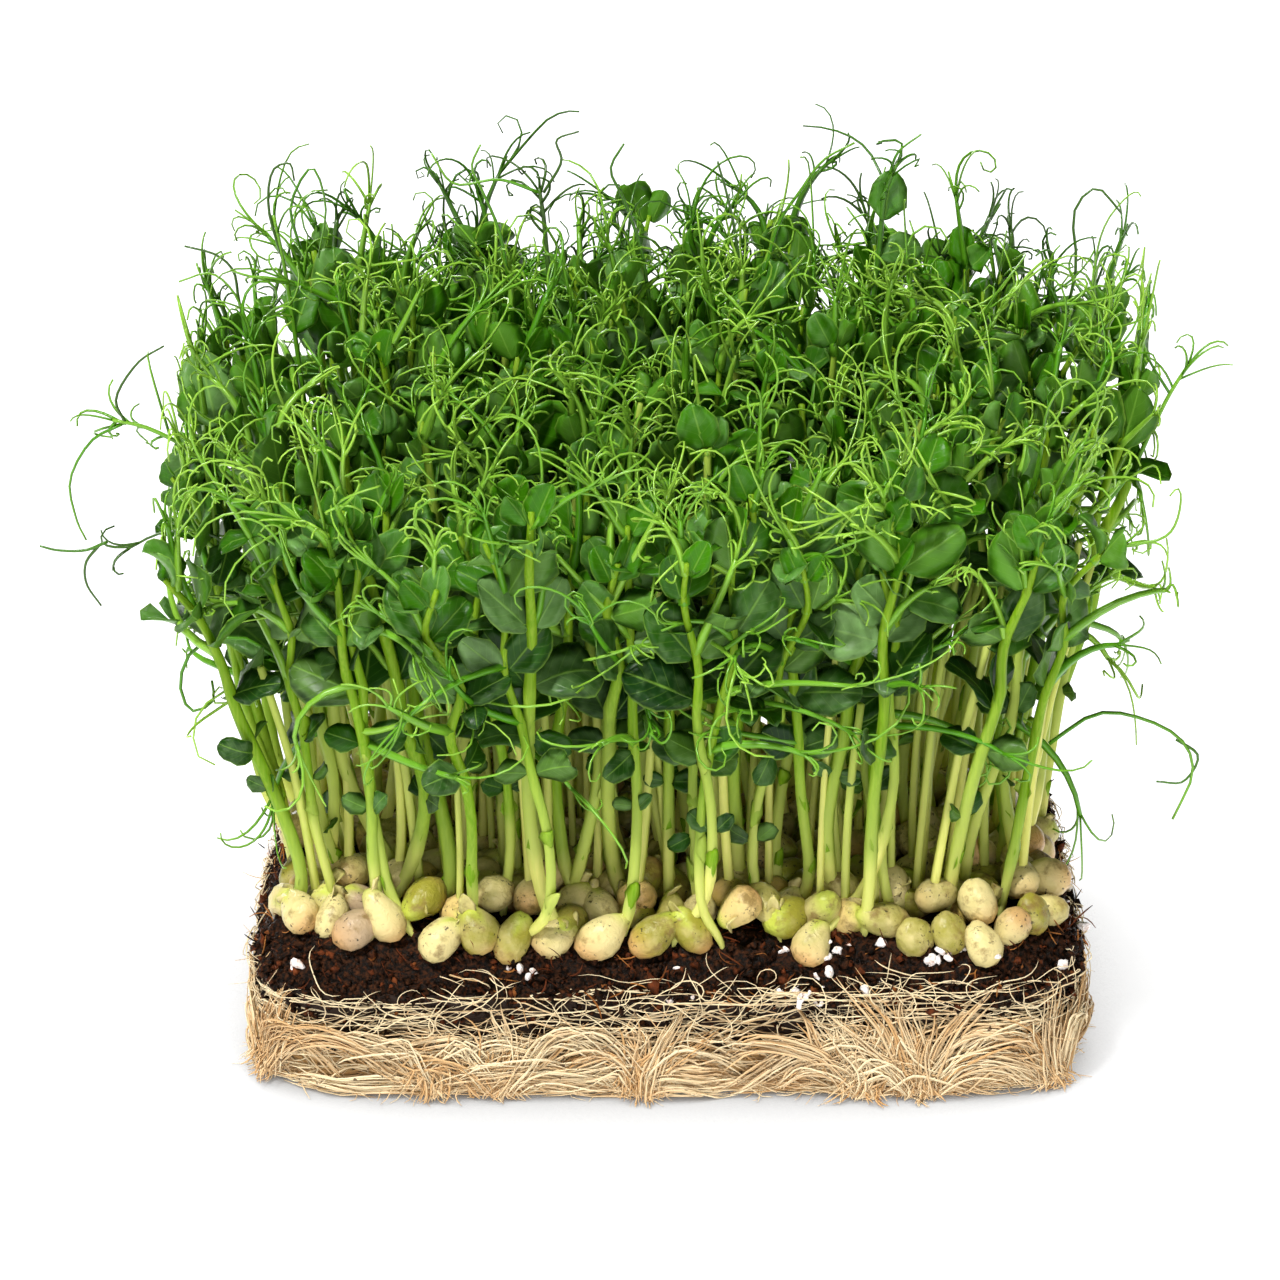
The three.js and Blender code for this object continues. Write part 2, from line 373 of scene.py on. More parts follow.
def outline_table():
    """Even steps round the slab's widest outline from the middle of the front, anticlockwise from
    above: how far round, then x, y and the outward direction at each."""
    turns = np.linspace(0, 2 * math.pi, 1441) - math.pi / 2
    outward = np.stack([np.cos(turns), np.sin(turns)], -1)
    flat = np.array([HALF_WIDTH - CORNER, HALF_DEPTH - CORNER])
    points = outward * CORNER + np.sign(np.round(outward, 9)) * flat
    points[0] = points[-1] = (0, -HALF_DEPTH)
    middle = len(points) // 2
    points[middle] = (0, HALF_DEPTH)
    run = np.concatenate([[0], np.cumsum(np.linalg.norm(np.diff(points, axis=0), axis=1))])
    return run, points, outward


RUN, RIM, OUTWARD = outline_table()
PERIMETER = RUN[-1]


def skin_point(run, height, proud=0.0):
    """A point on the slab's skin: how far round it, how high, and how far proud of the skin."""
    run = np.asarray(run) % PERIMETER
    x, y, out_x, out_y = (
        np.interp(run, RUN, column) for column in (*RIM.T, *OUTWARD.T)
    )
    stand = proud - np.interp(height, SKIN_HEIGHTS, SKIN_INSETS)
    return np.stack([x + out_x * stand, y + out_y * stand, np.broadcast_to(height, x.shape)], -1)


def wall_point(run, height, proud):
    """A point on the wall of roots, which stands nearly upright down to the floor."""
    filled = np.where(height < MAT_TOP, np.interp(height, SKIN_HEIGHTS, SKIN_INSETS), 0.0)
    return skin_point(run, height, proud + 0.85 * filled)


def drawn_in(points, inset):
    """The same points, but those beyond the outline drawn in by inset moved onto that."""
    reach = np.array([HALF_WIDTH, HALF_DEPTH]) - CORNER
    beyond = np.maximum(np.abs(points) - reach, 0)
    over = np.linalg.norm(beyond, axis=-1, keepdims=True)
    kept = np.minimum((CORNER - inset) / np.maximum(over, 1e-9), 1)
    return np.sign(points) * (np.minimum(np.abs(points), reach) + beyond * kept)


def inside_outline(points, inset):
    """Which points lie inside the slab's outline drawn in by inset."""
    reach = np.array([HALF_WIDTH, HALF_DEPTH]) - CORNER
    beyond = np.maximum(np.abs(points[..., :2]) - reach, 0)
    return np.linalg.norm(beyond, axis=-1) < CORNER - inset


# ---- Materials ----


def add(tree, kind, inputs=None, **settings):
    """Adds a shader node, sets it, and fills its sockets with values or links from sockets."""
    made = tree.nodes.new("ShaderNode" + kind)
    for name, value in settings.items():
        setattr(made, name, value)
    for socket, value in (inputs or {}).items():
        if isinstance(value, bpy.types.NodeSocket):
            tree.links.new(value, made.inputs[socket])
        else:
            made.inputs[socket].default_value = value
    return made


def rgba(values):
    """A colour with its cover, as colour sockets take it."""
    return (*values, 1.0)


def new_material(name):
    """An empty node material and its tree."""
    material = bpy.data.materials.new(name)
    material.use_nodes = True
    material.node_tree.nodes.clear()
    return material, material.node_tree


def layered(tree, hue, coats):
    """Lays coats of colour over a hue, one on the other. A coat gives what it follows, where it
    starts and where it is full, how strong it is there, and its colour."""
    for follows, start, full, strength, paint in coats:
        share = add(
            tree, "MapRange",
            {"Value": follows, "From Min": start, "From Max": full, "To Max": strength},
        )
        mixed = add(tree, "MixRGB", {"Fac": share.outputs[0], "Color1": hue, "Color2": rgba(paint)})
        hue = mixed.outputs[0]
    return hue


def root_fibre(slab):
    """Pea root: a limp, damp cellulose thread that grew against a tray wall. Pale and satin, older
    roots more tan, each thread a little different, with bits of medium stuck to it."""
    material, tree = new_material("pea root, felted")
    tint = add(tree, "Attribute", attribute_name="tint").outputs["Fac"]
    place = add(tree, "NewGeometry").outputs["Position"]
    # Stains spread over some 12 mm; bits of medium are about 1 mm.
    stain = add(tree, "TexNoise", {"Vector": place, "Scale": 1 / (12 * MM), "Detail": 3})
    bit = add(tree, "TexNoise", {"Vector": place, "Scale": 1 / (1.3 * MM), "Detail": 2})
    age = add(tree, "Math", {0: tint, 1: stain.outputs["Fac"]}, operation="ADD")
    hue = layered(tree, rgba(slab.root_pale), [
        (age.outputs[0], 0.5, 1.55, 1.0, slab.root_tan),
        (bit.outputs["Fac"], 0.68, 0.72, 0.9, linear("#4A2C17")),
    ])
    shader = add(
        tree, "BsdfPrincipled",
        {"Base Color": hue, "Roughness": 0.5, "IOR": 1.4, "Specular IOR Level": 0.35},
    )
    through = add(tree, "BsdfTranslucent", {"Color": hue})
    thread = add(tree, "MixShader", {0: 0.18, 1: shader.outputs[0], 2: through.outputs[0]})
    add(tree, "OutputMaterial", {"Surface": thread.outputs[0]})
    return material


def root_backing():
    """The felt behind the outer roots: packed threads about 1 mm wide that run along the wall. Dark shows
    between them: medium, more of it higher up, and painted shade in the gaps of the felt."""
    material, tree = new_material("pea root, packed felt")
    place = add(tree, "NewGeometry").outputs["Position"]
    # Squeezed in height, so that the threads run round the wall.
    stretched = add(tree, "Mapping", {"Vector": place, "Scale": (1, 1, 4)})
    thread = add(
        tree, "TexNoise",
        {"Vector": stretched.outputs[0], "Scale": 1 / (4 * MM), "Detail": 5, "Distortion": 1.5},
    )
    level = add(tree, "SeparateXYZ", {"Vector": place})
    bare = add(
        tree, "MapRange",
        {"Value": level.outputs["Z"], "From Min": 8 * MM, "From Max": 20 * MM, "To Max": -0.3},
    )
    packed = add(tree, "Math", {0: thread.outputs["Fac"], 1: bare.outputs[0]}, operation="ADD")
    # The dark between the threads is partly medium and partly painted shade.
    soil, felt = linear("#241409"), linear("#C79F66")
    hue = layered(tree, rgba(soil), [(packed.outputs[0], 0.36, 0.54, 1.0, felt)])
    bump = add(tree, "Bump", {"Height": thread.outputs["Fac"], "Distance": 1.0 * MM})
    shader = add(
        tree, "BsdfPrincipled",
        {"Base Color": hue, "Roughness": 0.8, "IOR": 1.4, "Normal": bump.outputs[0]},
    )
    add(tree, "OutputMaterial", {"Surface": shader.outputs[0]})
    return material


def growing_medium(slab):
    """Coir and peat, milled and damp: nearly black, with brown grit under 1 mm, rust-brown chips
    and wet glints. Each chip carries its own tint, and those over 1 are rust."""
    material, tree = new_material("coir and peat, damp")
    tint = add(tree, "Attribute", attribute_name="tint").outputs["Fac"]
    place = add(tree, "NewGeometry").outputs["Position"]
    grit = add(
        tree, "TexNoise", {"Vector": place, "Scale": 1 / (1.1 * MM), "Detail": 4, "Roughness": 0.7}
    )
    chip = add(tree, "TexNoise", {"Vector": place, "Scale": 1 / (2.2 * MM), "Detail": 2})
    warm = add(
        tree, "Math", {0: tint, 1: 0.6, 2: chip.outputs["Fac"]}, operation="MULTIPLY_ADD"
    )
    hue = layered(tree, rgba(slab.medium_dark), [
        (grit.outputs["Fac"], 0.46, 0.72, 1.0, linear("#4A2A17")),
        (warm.outputs[0], 0.92, 1.3, 0.95, slab.medium_red),
        (tint, 1.22, 1.4, 0.85, linear("#A96E36")),
    ])
    wet = add(
        tree, "MapRange",
        {"Value": grit.outputs["Fac"], "From Min": 0.4, "From Max": 0.6, "To Min": 0.28, "To Max": 0.8},
    )
    bump = add(tree, "Bump", {"Height": grit.outputs["Fac"], "Distance": 0.6 * MM})
    shader = add(
        tree, "BsdfPrincipled",
        {"Base Color": hue, "Roughness": wet.outputs[0], "IOR": 1.33,
         "Specular IOR Level": 0.14, "Normal": bump.outputs[0]},
    )
    add(tree, "OutputMaterial", {"Surface": shader.outputs[0]})
    return material


def perlite(slab):
    """Perlite: volcanic glass puffed by heat. White, matt and pitted, with tea-brown stains."""
    material, tree = new_material("perlite, expanded")
    place = add(tree, "NewGeometry").outputs["Position"]
    pit = add(tree, "TexVoronoi", {"Vector": place, "Scale": 1 / (0.5 * MM)})
    stain = add(tree, "TexNoise", {"Vector": place, "Scale": 1 / (1.5 * MM), "Detail": 3})
    tea = linear("#B08A74")
    hue = layered(tree, rgba(slab.perlite_white), [(stain.outputs["Fac"], 0.5, 0.68, 0.75, tea)])
    bump = add(tree, "Bump", {"Height": pit.outputs["Distance"], "Distance": 0.3 * MM, "Strength": 0.8})
    shader = add(
        tree, "BsdfPrincipled", {"Base Color": hue, "Roughness": 0.85, "Normal": bump.outputs[0]}
    )
    add(tree, "OutputMaterial", {"Surface": shader.outputs[0]})
    return material


def pea_coat(plant):
    """Pea seed coat, soaked: a thin satin skin, cream to olive from pea to pea, a few of them
    ochre or brownish pink. It is clouded over 3 to 4 mm, greener by the neck and the seam, tan at
    the far end, wrinkled, and has dark mould specks in patches and brown smudges."""
    material, tree = new_material("pea seed coat, soaked")
    tint, neck = (
        add(tree, "Attribute", attribute_name=name).outputs["Fac"] for name in ("tint", "along")
    )
    place = add(tree, "NewGeometry").outputs["Position"]
    cloud = add(tree, "TexNoise", {"Vector": place, "Scale": 1 / (3.6 * MM), "Detail": 4})
    smudge = add(
        tree, "TexNoise", {"Vector": place, "Scale": 1 / (5 * MM), "Detail": 5, "Roughness": 0.65}
    )
    speck = add(tree, "TexNoise", {"Vector": place, "Scale": 1 / (0.8 * MM), "Detail": 2})
    patch = add(tree, "TexNoise", {"Vector": place, "Scale": 1 / (4.5 * MM), "Detail": 2})
    wrinkle = add(
        tree, "TexNoise",
        {"Vector": place, "Scale": 1 / (1.9 * MM), "Detail": 3, "Distortion": 1.2},
    )
    green = add(tree, "Math", {0: tint, 1: cloud.outputs["Fac"]}, operation="ADD")
    near = add(tree, "MapRange", {"Value": patch.outputs["Fac"], "From Min": 0.5, "From Max": 0.6})
    dark = add(tree, "MapRange", {"Value": speck.outputs["Fac"], "From Min": 0.61, "From Max": 0.66})
    mould = add(tree, "Math", {0: near.outputs[0], 1: dark.outputs[0]}, operation="MULTIPLY")
    hue = layered(tree, rgba(plant.pea_cream), [
        (green.outputs[0], 0.75, 1.4, 1.0, plant.pea_olive),
        (tint, 0.11, 0.04, 0.6, plant.pea_ochre),
        (tint, 0.94, 0.96, 0.75, linear("#BC9F88")),
        (neck, 0.25, 1.0, 0.85, linear("#B7C24A")),
        (neck, -0.05, -0.6, 0.8, linear("#CB9C62")),
        (smudge.outputs["Fac"], 0.53, 0.66, 0.8, linear("#7D6434")),
        (mould.outputs[0], 0.0, 1.0, 0.9, linear("#3D3420")),
    ])
    bump = add(tree, "Bump", {"Height": wrinkle.outputs["Fac"], "Distance": 0.9 * MM, "Strength": 0.45})
    shader = add(
        tree, "BsdfPrincipled",
        {"Base Color": hue, "Roughness": 0.36, "IOR": 1.45, "Specular IOR Level": 0.3,
         "Normal": bump.outputs[0]},
    )
    through = add(tree, "BsdfTranslucent", {"Color": hue})
    coat = add(tree, "MixShader", {0: 0.1, 1: shader.outputs[0], 2: through.outputs[0]})
    add(tree, "OutputMaterial", {"Surface": coat.outputs[0]})
    return material


def stem_skin(plant):
    """Pea stem: a juicy, lightly ribbed tube with a waxy skin. It is blanched near the medium,
    where no light reached it, and turns green over the next 50 mm."""
    material, tree = new_material("pea stem, waxy")
    tint, level = (
        add(tree, "Attribute", attribute_name=name).outputs["Fac"] for name in ("tint", "level")
    )
    place = add(tree, "NewGeometry").outputs["Position"]
    # Drawn out in height, so that the ribs run up the stem.
    stretched = add(tree, "Mapping", {"Vector": place, "Scale": (1, 1, 0.06)})
    rib = add(tree, "TexNoise", {"Vector": stretched.outputs[0], "Scale": 1 / (0.6 * MM), "Detail": 2})
    lit = add(tree, "Math", {0: tint, 1: 0.28, 2: level}, operation="MULTIPLY_ADD")
    hue = layered(tree, rgba(plant.stem_foot), [
        (lit.outputs[0], 0.12, 0.72, 1.0, plant.stem_green),
        (rib.outputs["Fac"], 0.35, 0.7, 0.3, linear("#C6DA54")),
    ])
    bump = add(tree, "Bump", {"Height": rib.outputs["Fac"], "Distance": 0.2 * MM, "Strength": 0.4})
    shader = add(
        tree, "BsdfPrincipled",
        {"Base Color": hue, "Roughness": 0.4, "IOR": 1.4, "Specular IOR Level": 0.25,
         "Normal": bump.outputs[0]},
    )
    through = add(tree, "BsdfTranslucent", {"Color": hue})
    juicy = add(tree, "MixShader", {0: 0.36, 1: shader.outputs[0], 2: through.outputs[0]})
    add(tree, "OutputMaterial", {"Surface": juicy.outputs[0]})
    return material


def leaf_blade(plant):
    """Pea leaf: a thin blade, some with a pale waxy bloom. Old leaves low down are blue-green,
    young ones at the tip yellow-green; a pale midrib and side veins 2 to 3 mm apart show, and
    light comes through."""
    material, tree = new_material("pea leaf, waxy bloom")
    tint, level, bloom, aside, along, beneath = (
        add(tree, "Attribute", attribute_name=name).outputs["Fac"]
        for name in ("tint", "level", "bloom", "aside", "along", "beneath")
    )
    place = add(tree, "NewGeometry").outputs["Position"]
    mottle = add(tree, "TexNoise", {"Vector": place, "Scale": 1 / (3 * MM), "Detail": 3})
    young = add(tree, "Math", {0: tint, 1: 0.5, 2: level}, operation="MULTIPLY_ADD")
    # Side veins leave the midrib in pairs and slant forwards: six to a leaf.
    off = add(tree, "Math", {0: aside}, operation="ABSOLUTE").outputs[0]
    slant = add(tree, "Math", {0: off, 1: -0.35, 2: along}, operation="MULTIPLY_ADD")
    wave = add(tree, "Math", {0: slant.outputs[0], 1: 6 * math.pi}, operation="MULTIPLY")
    comb = add(tree, "Math", {0: wave.outputs[0]}, operation="SINE")
    ridge = add(tree, "Math", {0: comb.outputs[0]}, operation="ABSOLUTE")
    side_vein = add(
        tree, "MapRange",
        {"Value": ridge.outputs[0], "From Min": 0.2, "From Max": 0.0, "To Max": 0.2},
    )
    midrib = add(
        tree, "MapRange", {"Value": off, "From Min": 0.07, "From Max": 0.01, "To Max": 0.5}
    )
    vein = add(tree, "Math", {0: side_vein.outputs[0], 1: midrib.outputs[0]}, operation="MAXIMUM")
    veined = layered(tree, rgba(plant.leaf_deep), [
        (young.outputs[0], 0.1, 1.3, 1.0, plant.leaf_fresh),
        (vein.outputs[0], 0.0, 1.0, 1.0, linear("#8DBB45")),
    ])
    # Bloom comes next, then the paler underside, and then a thin bright line along the rim, a painted
    # highlight for light that shines through the edge.
    cloud = add(
        tree, "MapRange",
        {"Value": mottle.outputs["Fac"], "From Min": 0.3, "From Max": 0.7, "To Min": -0.1,
         "To Max": 0.15},
    )
    waxed = add(tree, "Math", {0: cloud.outputs[0], 1: bloom}, operation="ADD")
    hue = layered(tree, veined, [
        (waxed.outputs[0], 0.0, 1.0, 1.0, linear("#A4CC82")),
        (beneath, 0.0, 1.0, 0.3, linear("#7CAC40")),
        # The bright rim line is painted light.
        (off, 0.9, 1.0, 0.6, linear("#9CCB4A")),
    ])
    bump = add(tree, "Bump", {"Height": vein.outputs[0], "Distance": 0.3 * MM, "Strength": 0.6})
    shader = add(
        tree, "BsdfPrincipled",
        {"Base Color": hue, "Roughness": 0.36, "IOR": 1.42, "Specular IOR Level": 0.26,
         "Normal": bump.outputs[0]},
    )
    glow = add(tree, "MixRGB", {"Fac": 0.6, "Color1": veined, "Color2": rgba(linear("#A6DB1E"))})
    through = add(tree, "BsdfTranslucent", {"Color": glow.outputs[0]})
    blade = add(tree, "MixShader", {0: 0.24, 1: shader.outputs[0], 2: through.outputs[0]})
    add(tree, "OutputMaterial", {"Surface": blade.outputs[0]})
    return material


def tendril_skin(plant):
    """Pea tendril: a wiry green thread, yellower and finer towards its end, that lets some light through. A
    low tint turns it a dark olive: painted shade for strands that stand dark against the bright backdrop."""
    material, tree = new_material("pea tendril, wiry")
    tint, along = (
        add(tree, "Attribute", attribute_name=name).outputs["Fac"] for name in ("tint", "along")
    )
    pale = add(tree, "Math", {0: along, 1: 0.5, 2: tint}, operation="MULTIPLY_ADD")
    hue = layered(tree, rgba(plant.tendril_green), [
        (pale.outputs[0], 0.1, 1.5, 1.0, plant.tendril_tip),
        # A low tint lays a dark olive: painted shade for strands seen against the bright backdrop.
        (tint, 0.1, -0.6, 0.85, linear("#3A5420")),
    ])
    shader = add(
        tree, "BsdfPrincipled",
        {"Base Color": hue, "Roughness": 0.3, "IOR": 1.45, "Specular IOR Level": 0.45},
    )
    through = add(tree, "BsdfTranslucent", {"Color": hue})
    thread = add(tree, "MixShader", {0: 0.12, 1: shader.outputs[0], 2: through.outputs[0]})
    add(tree, "OutputMaterial", {"Surface": thread.outputs[0]})
    return material


# ---- Roots ----

ROOT_RINGS = 7
# How far the roots stay above the floor, in millimetres.
FLOOR_GAP = 0.5


def skin_threads(rng, run, height, heading, bend, length, ceiling, proud):
    """Paths of roots that lie on the slab's skin and follow the way it is combed. Heading is the
    angle up from the way round, bend is how far the root turns on its way, and proud is how far it
    stands off the skin at each ring. No root climbs past its ceiling."""
    total, rings = proud.shape
    beat, phase = rng.uniform(4, 9, total), rng.uniform(0, 2 * math.pi, total)
    step = length / (rings - 1)
    points = []
    for ring, share in enumerate(np.linspace(0, 1, rings)):
        points.append(wall_point(run, height, proud[:, ring] + 1.1 * (height > MAT_TOP - 1)))
        combed = 0.5 * lumps(skin_point(run, height * 1.6), 13, seed=5)
        angle = heading + bend * share + combed + 0.3 * np.sin(phase + beat * share)
        rise = np.sin(angle) * step
        room = np.maximum(np.where(rise > 0, ceiling - height, height - FLOOR_GAP), 1e-3)
        run = run + np.cos(angle) * step
        height = height + rise * room / (room + np.abs(rise))
    return np.stack(points, axis=1)


def threads(rng, slab, paths, thin, thick, tint):
    """Three-sided threads that thin out at both ends, from thin to thick times a root's width."""
    total, rings = paths.shape[:2]
    beat, phase = rng.uniform(5, 14, (total, 1)), rng.uniform(0, 2 * math.pi, (total, 1))
    wave = np.sin(phase + beat * np.linspace(0, 1, rings)) * rng.gamma(2, 0.11, (total, 1))
    way = unit(rng.normal(size=(total, 1, 3)))
    paths = paths + way * wave[..., None]
    paths[..., 2] = np.maximum(paths[..., 2], 0.3)
    radius = slab.root_width / MM / 2 * rng.uniform(thin, thick, total)
    taper = 1 - 0.75 * np.abs(np.linspace(-1, 1, rings)) ** 4
    return tubes(paths, radius[:, None] * taper, 3, tint=tint)


def mat_edge(run):
    """How high the mat's ragged upper edge is, in waves some 25 mm long."""
    return MAT_TOP + 0.5 + 5.5 * lumps(skin_point(run, 10.0), 22, seed=6)


def felt_roots(rng, slab):
    """Roots that run round the wall in long waves, packed over each other."""
    total = slab.felt_roots
    run = rng.uniform(0, PERIMETER, total)
    edge = mat_edge(run)
    height = edge * rng.uniform(0, 1, total) ** 1.4 + 0.6
    # One in five lies round the foot, where they fill the mat's drawn-in rim.
    height = np.where(rng.random(total) < 0.2, rng.uniform(0.5, 3.5, total), height)
    behind = rng.uniform(0, 0.9, total) * np.interp(height, SKIN_HEIGHTS, SKIN_INSETS) * (height < 8)
    proud = (rng.uniform(-1.4, 1.1, total) - behind)[:, None]
    proud = proud + rng.normal(0, 0.35, (total, ROOT_RINGS))
    heading = rng.choice([0, math.pi], total) + rng.normal(0, 0.3, total)
    ceiling = np.maximum(height, rng.uniform(0.5, 1.1, total) * edge)
    paths = skin_threads(
        rng, run, height, heading, rng.normal(0, 0.9, total), rng.uniform(14, 42, total), ceiling, proud
    )
    return threads(rng, slab, paths, 0.5, 1.25, rng.uniform(0, 0.9, total) - 0.016 * height)


def hank_middles(slab):
    """How far round the slab each hank is pinched together at the foot."""
    hanks = round(PERIMETER / (slab.hank_pitch / MM))
    return (np.arange(hanks) + seeded("hanks").uniform(-0.4, 0.4, hanks)) * PERIMETER / hanks


def hank_roots(rng, slab):
    """Hanks: locks of roots that fall down the wall to a pinched place at the foot and flare out
    there, and locks that swing away from it to each side."""
    middles = hank_middles(slab)
    falls, swags = 5, 6
    locks = falls + swags
    shape = (len(middles), locks)
    middle = np.repeat(middles[:, None], locks, axis=1)
    edge = mat_edge(middle)
    side = np.concatenate([np.linspace(-1, 1, falls), np.tile([-1, 1], swags // 2)])
    side = side + rng.normal(0, 0.12, shape)
    falling = np.broadcast_to(np.arange(locks) < falls, shape)

    # Each lock's course: how far round, how high and how far proud, at four places.
    grand = rng.uniform(0.55, 1.2, (len(middles), 1))
    top = edge * np.minimum(rng.uniform(0.6, 1.05, shape) * grand, 1.05)
    lean = rng.normal(0, 5, (len(middles), 1))
    arch = rng.uniform(1, 13, shape)
    reach = rng.uniform(0.7, 1.3, shape)
    round_ways = [
        np.where(falling, side * rng.uniform(8, 17, shape) * grand + lean, side * 1.5),
        np.where(falling, side * rng.uniform(5, 9, shape) * grand + lean * 0.6, side * 9 * reach),
        np.where(falling, side * 2.2, side * 18 * reach),
        np.where(falling, side * rng.uniform(3, 7, shape), side * 27 * reach),
    ]
    heights = [
        np.where(falling, top, 2.5),
        np.where(falling, top * 0.62, 3 + arch),
        np.where(falling, 4.5, 3 + arch * rng.uniform(0.5, 1.3, shape)),
        np.where(falling, 0.8, 2 + arch * rng.uniform(0, 0.8, shape)),
    ]
    prouds = [
        np.where(falling, 0.6, 1.6),
        np.where(falling, 1.1, 1.7) * rng.uniform(0.6, 1.4, shape),
        np.where(falling, 1.5, 1.2) * rng.uniform(0.7, 1.3, shape),
        np.where(falling, rng.uniform(1.5, 6.5, shape), 0.3),
    ]
    course = np.stack([np.stack(part, -1) for part in (round_ways, heights, prouds)], -1)
    course[..., 0] += middle[..., None]
    shade = np.where(falling, rng.uniform(0.2, 1.0, shape), rng.uniform(-0.1, 0.8, shape))

    each = slab.hank_roots // locks
    course = np.repeat(course.reshape(-1, 4, 3), each, axis=0)
    total = len(course)
    course[..., 0] += rng.normal(0, 1.7, (total, 1)) + rng.normal(0, 0.5, (total, 4))
    course[..., 1] += rng.normal(0, 1.3, (total, 1)) + rng.normal(0, 0.45, (total, 4))
    course[..., 2] += rng.normal(0, 0.6, (total, 1))
    # The roots of a lock wave together, and each keeps a stretch of the whole course.
    rings, kept = 11, 8
    course = smooth_path(course, rings)
    phase = np.repeat(rng.uniform(0, 2 * math.pi, falling.size), each)[:, None]
    course[..., 0] += 0.9 * np.sin(phase + np.linspace(0, 9, rings))
    course[..., 1] += 0.7 * np.sin(phase * 1.7 + np.linspace(0, 8, rings))
    first = rng.integers(0, rings - kept + 1, total)
    course = np.take_along_axis(course, (first[:, None] + np.arange(kept))[..., None], axis=1)
    course[..., 1] = np.maximum(course[..., 1], FLOOR_GAP)
    paths = wall_point(*np.moveaxis(course, -1, 0))
    return threads(rng, slab, paths, 0.6, 1.7, np.repeat(shade.ravel(), each) + rng.normal(0, 0.2, total))


def climbing_roots(rng, slab):
    """Thin white roots that arch out of the felt, over the foot of the medium and back."""
    total = slab.loose_roots
    rings = 11
    arch = np.sin(np.linspace(0.1, 3.0, rings))
    stray = rng.random(total) < 0.12
    run = rng.uniform(0, PERIMETER, total)
    edge = mat_edge(run)
    ceiling = np.where(stray, MEDIUM_TOP - 1, edge + rng.uniform(-1, 6, total))
    heading = rng.choice([0.0, math.pi], total) + rng.normal(0, 0.7, total)
    proud = rng.uniform(0.4, 2.4, (total, 1)) * arch
    paths = skin_threads(
        rng,
        run,
        edge + rng.uniform(-7, 2.5, total),
        heading,
        rng.normal(0, 2.4, total),
        rng.uniform(8, 24, total),
        ceiling,
        proud,
    )
    return threads(rng, slab, paths, 0.45, 0.85, rng.uniform(-0.4, 0.1, total))


def root_tips(rng, slab):
    """Broken ends that stand out of the mat, most of them round its foot and under the hanks."""
    total, rings = slab.root_tips, 6
    tufted = rng.random(total) < 0.5
    tuft = rng.choice(hank_middles(slab), total) + rng.normal(0, 3.2, total)
    run = np.where(tufted, tuft, rng.uniform(0, PERIMETER, total))
    low = rng.random(total) < 0.65
    height = np.where(low, rng.uniform(0.5, 3, total), rng.uniform(3, MAT_TOP + 4, total))
    start = wall_point(run, height, -0.8)
    outward = start - wall_point(run, height, -1.8)
    along = np.cross(outward, [0, 0, 1.0])
    heading = unit(
        outward * rng.uniform(0.15, 0.9, (total, 1))
        + along * rng.normal(0, 0.9, (total, 1))
        + [0, 0, 1] * rng.normal(-0.2, 0.3, (total, 1))
    )
    axis = across(rng.normal(size=(total, 3)), heading)
    reach = np.where(tufted, rng.uniform(4, 10, total), rng.uniform(3, 8, total))
    paths = curling_paths(start, heading, axis, reach, rng.normal(0, 0.9, total), rings)
    paths[..., 2] = np.maximum(paths[..., 2], FLOOR_GAP - 0.15)
    width = slab.root_width / MM * rng.uniform(0.5, 1.2, (total, 1))
    return tubes(paths, width / 2 * np.linspace(1, 0.3, rings), 3, tint=rng.uniform(0, 1, total))


def floor_roots(rng, slab):
    """Roots pressed flat under the slab: strewn all over it, then packed along its rim."""
    strewn, packed = 180, 560
    start = rng.uniform(-1, 1, (strewn, 2)) * [HALF_WIDTH - 12, HALF_DEPTH - 12]
    run = rng.uniform(0, PERIMETER, packed)
    rim = skin_point(run, MAT_TOP, -rng.uniform(0.6, 8.5, packed))
    ahead = skin_point(run + 1, MAT_TOP, 0.0) - skin_point(run, MAT_TOP, 0.0)
    total = strewn + packed
    start = np.column_stack([np.concatenate([start, rim[:, :2]]), rng.uniform(0.3, 0.9, total)])
    heading = compass(rng.uniform(0, 2 * math.pi, total))
    heading[strewn:] = unit(ahead + rng.normal(0, 0.12, (packed, 3)) * [1, 1, 0])
    paths = curling_paths(
        start,
        heading,
        np.tile([0.0, 0.0, 1.0], (total, 1)),
        rng.uniform(14, 34, total),
        rng.normal(0, 0.8, total),
        ROOT_RINGS,
    )
    paths = paths[inside_outline(paths, 0.4).all(axis=1)]
    return threads(rng, slab, paths, 0.8, 1.3, rng.uniform(0, 1, len(paths)))


# ---- Medium ----

# Points round the crumbled surface, and how many of its rings the shoulder takes.
MEDIUM_COLUMNS = 560
SHOULDER_RINGS = 17


def way_out(points):
    """The way out of the crumbled surface: outwards on the shoulder, upwards in the middle."""
    return unit(points * [1, 1, 0] + [0, 0, 30])


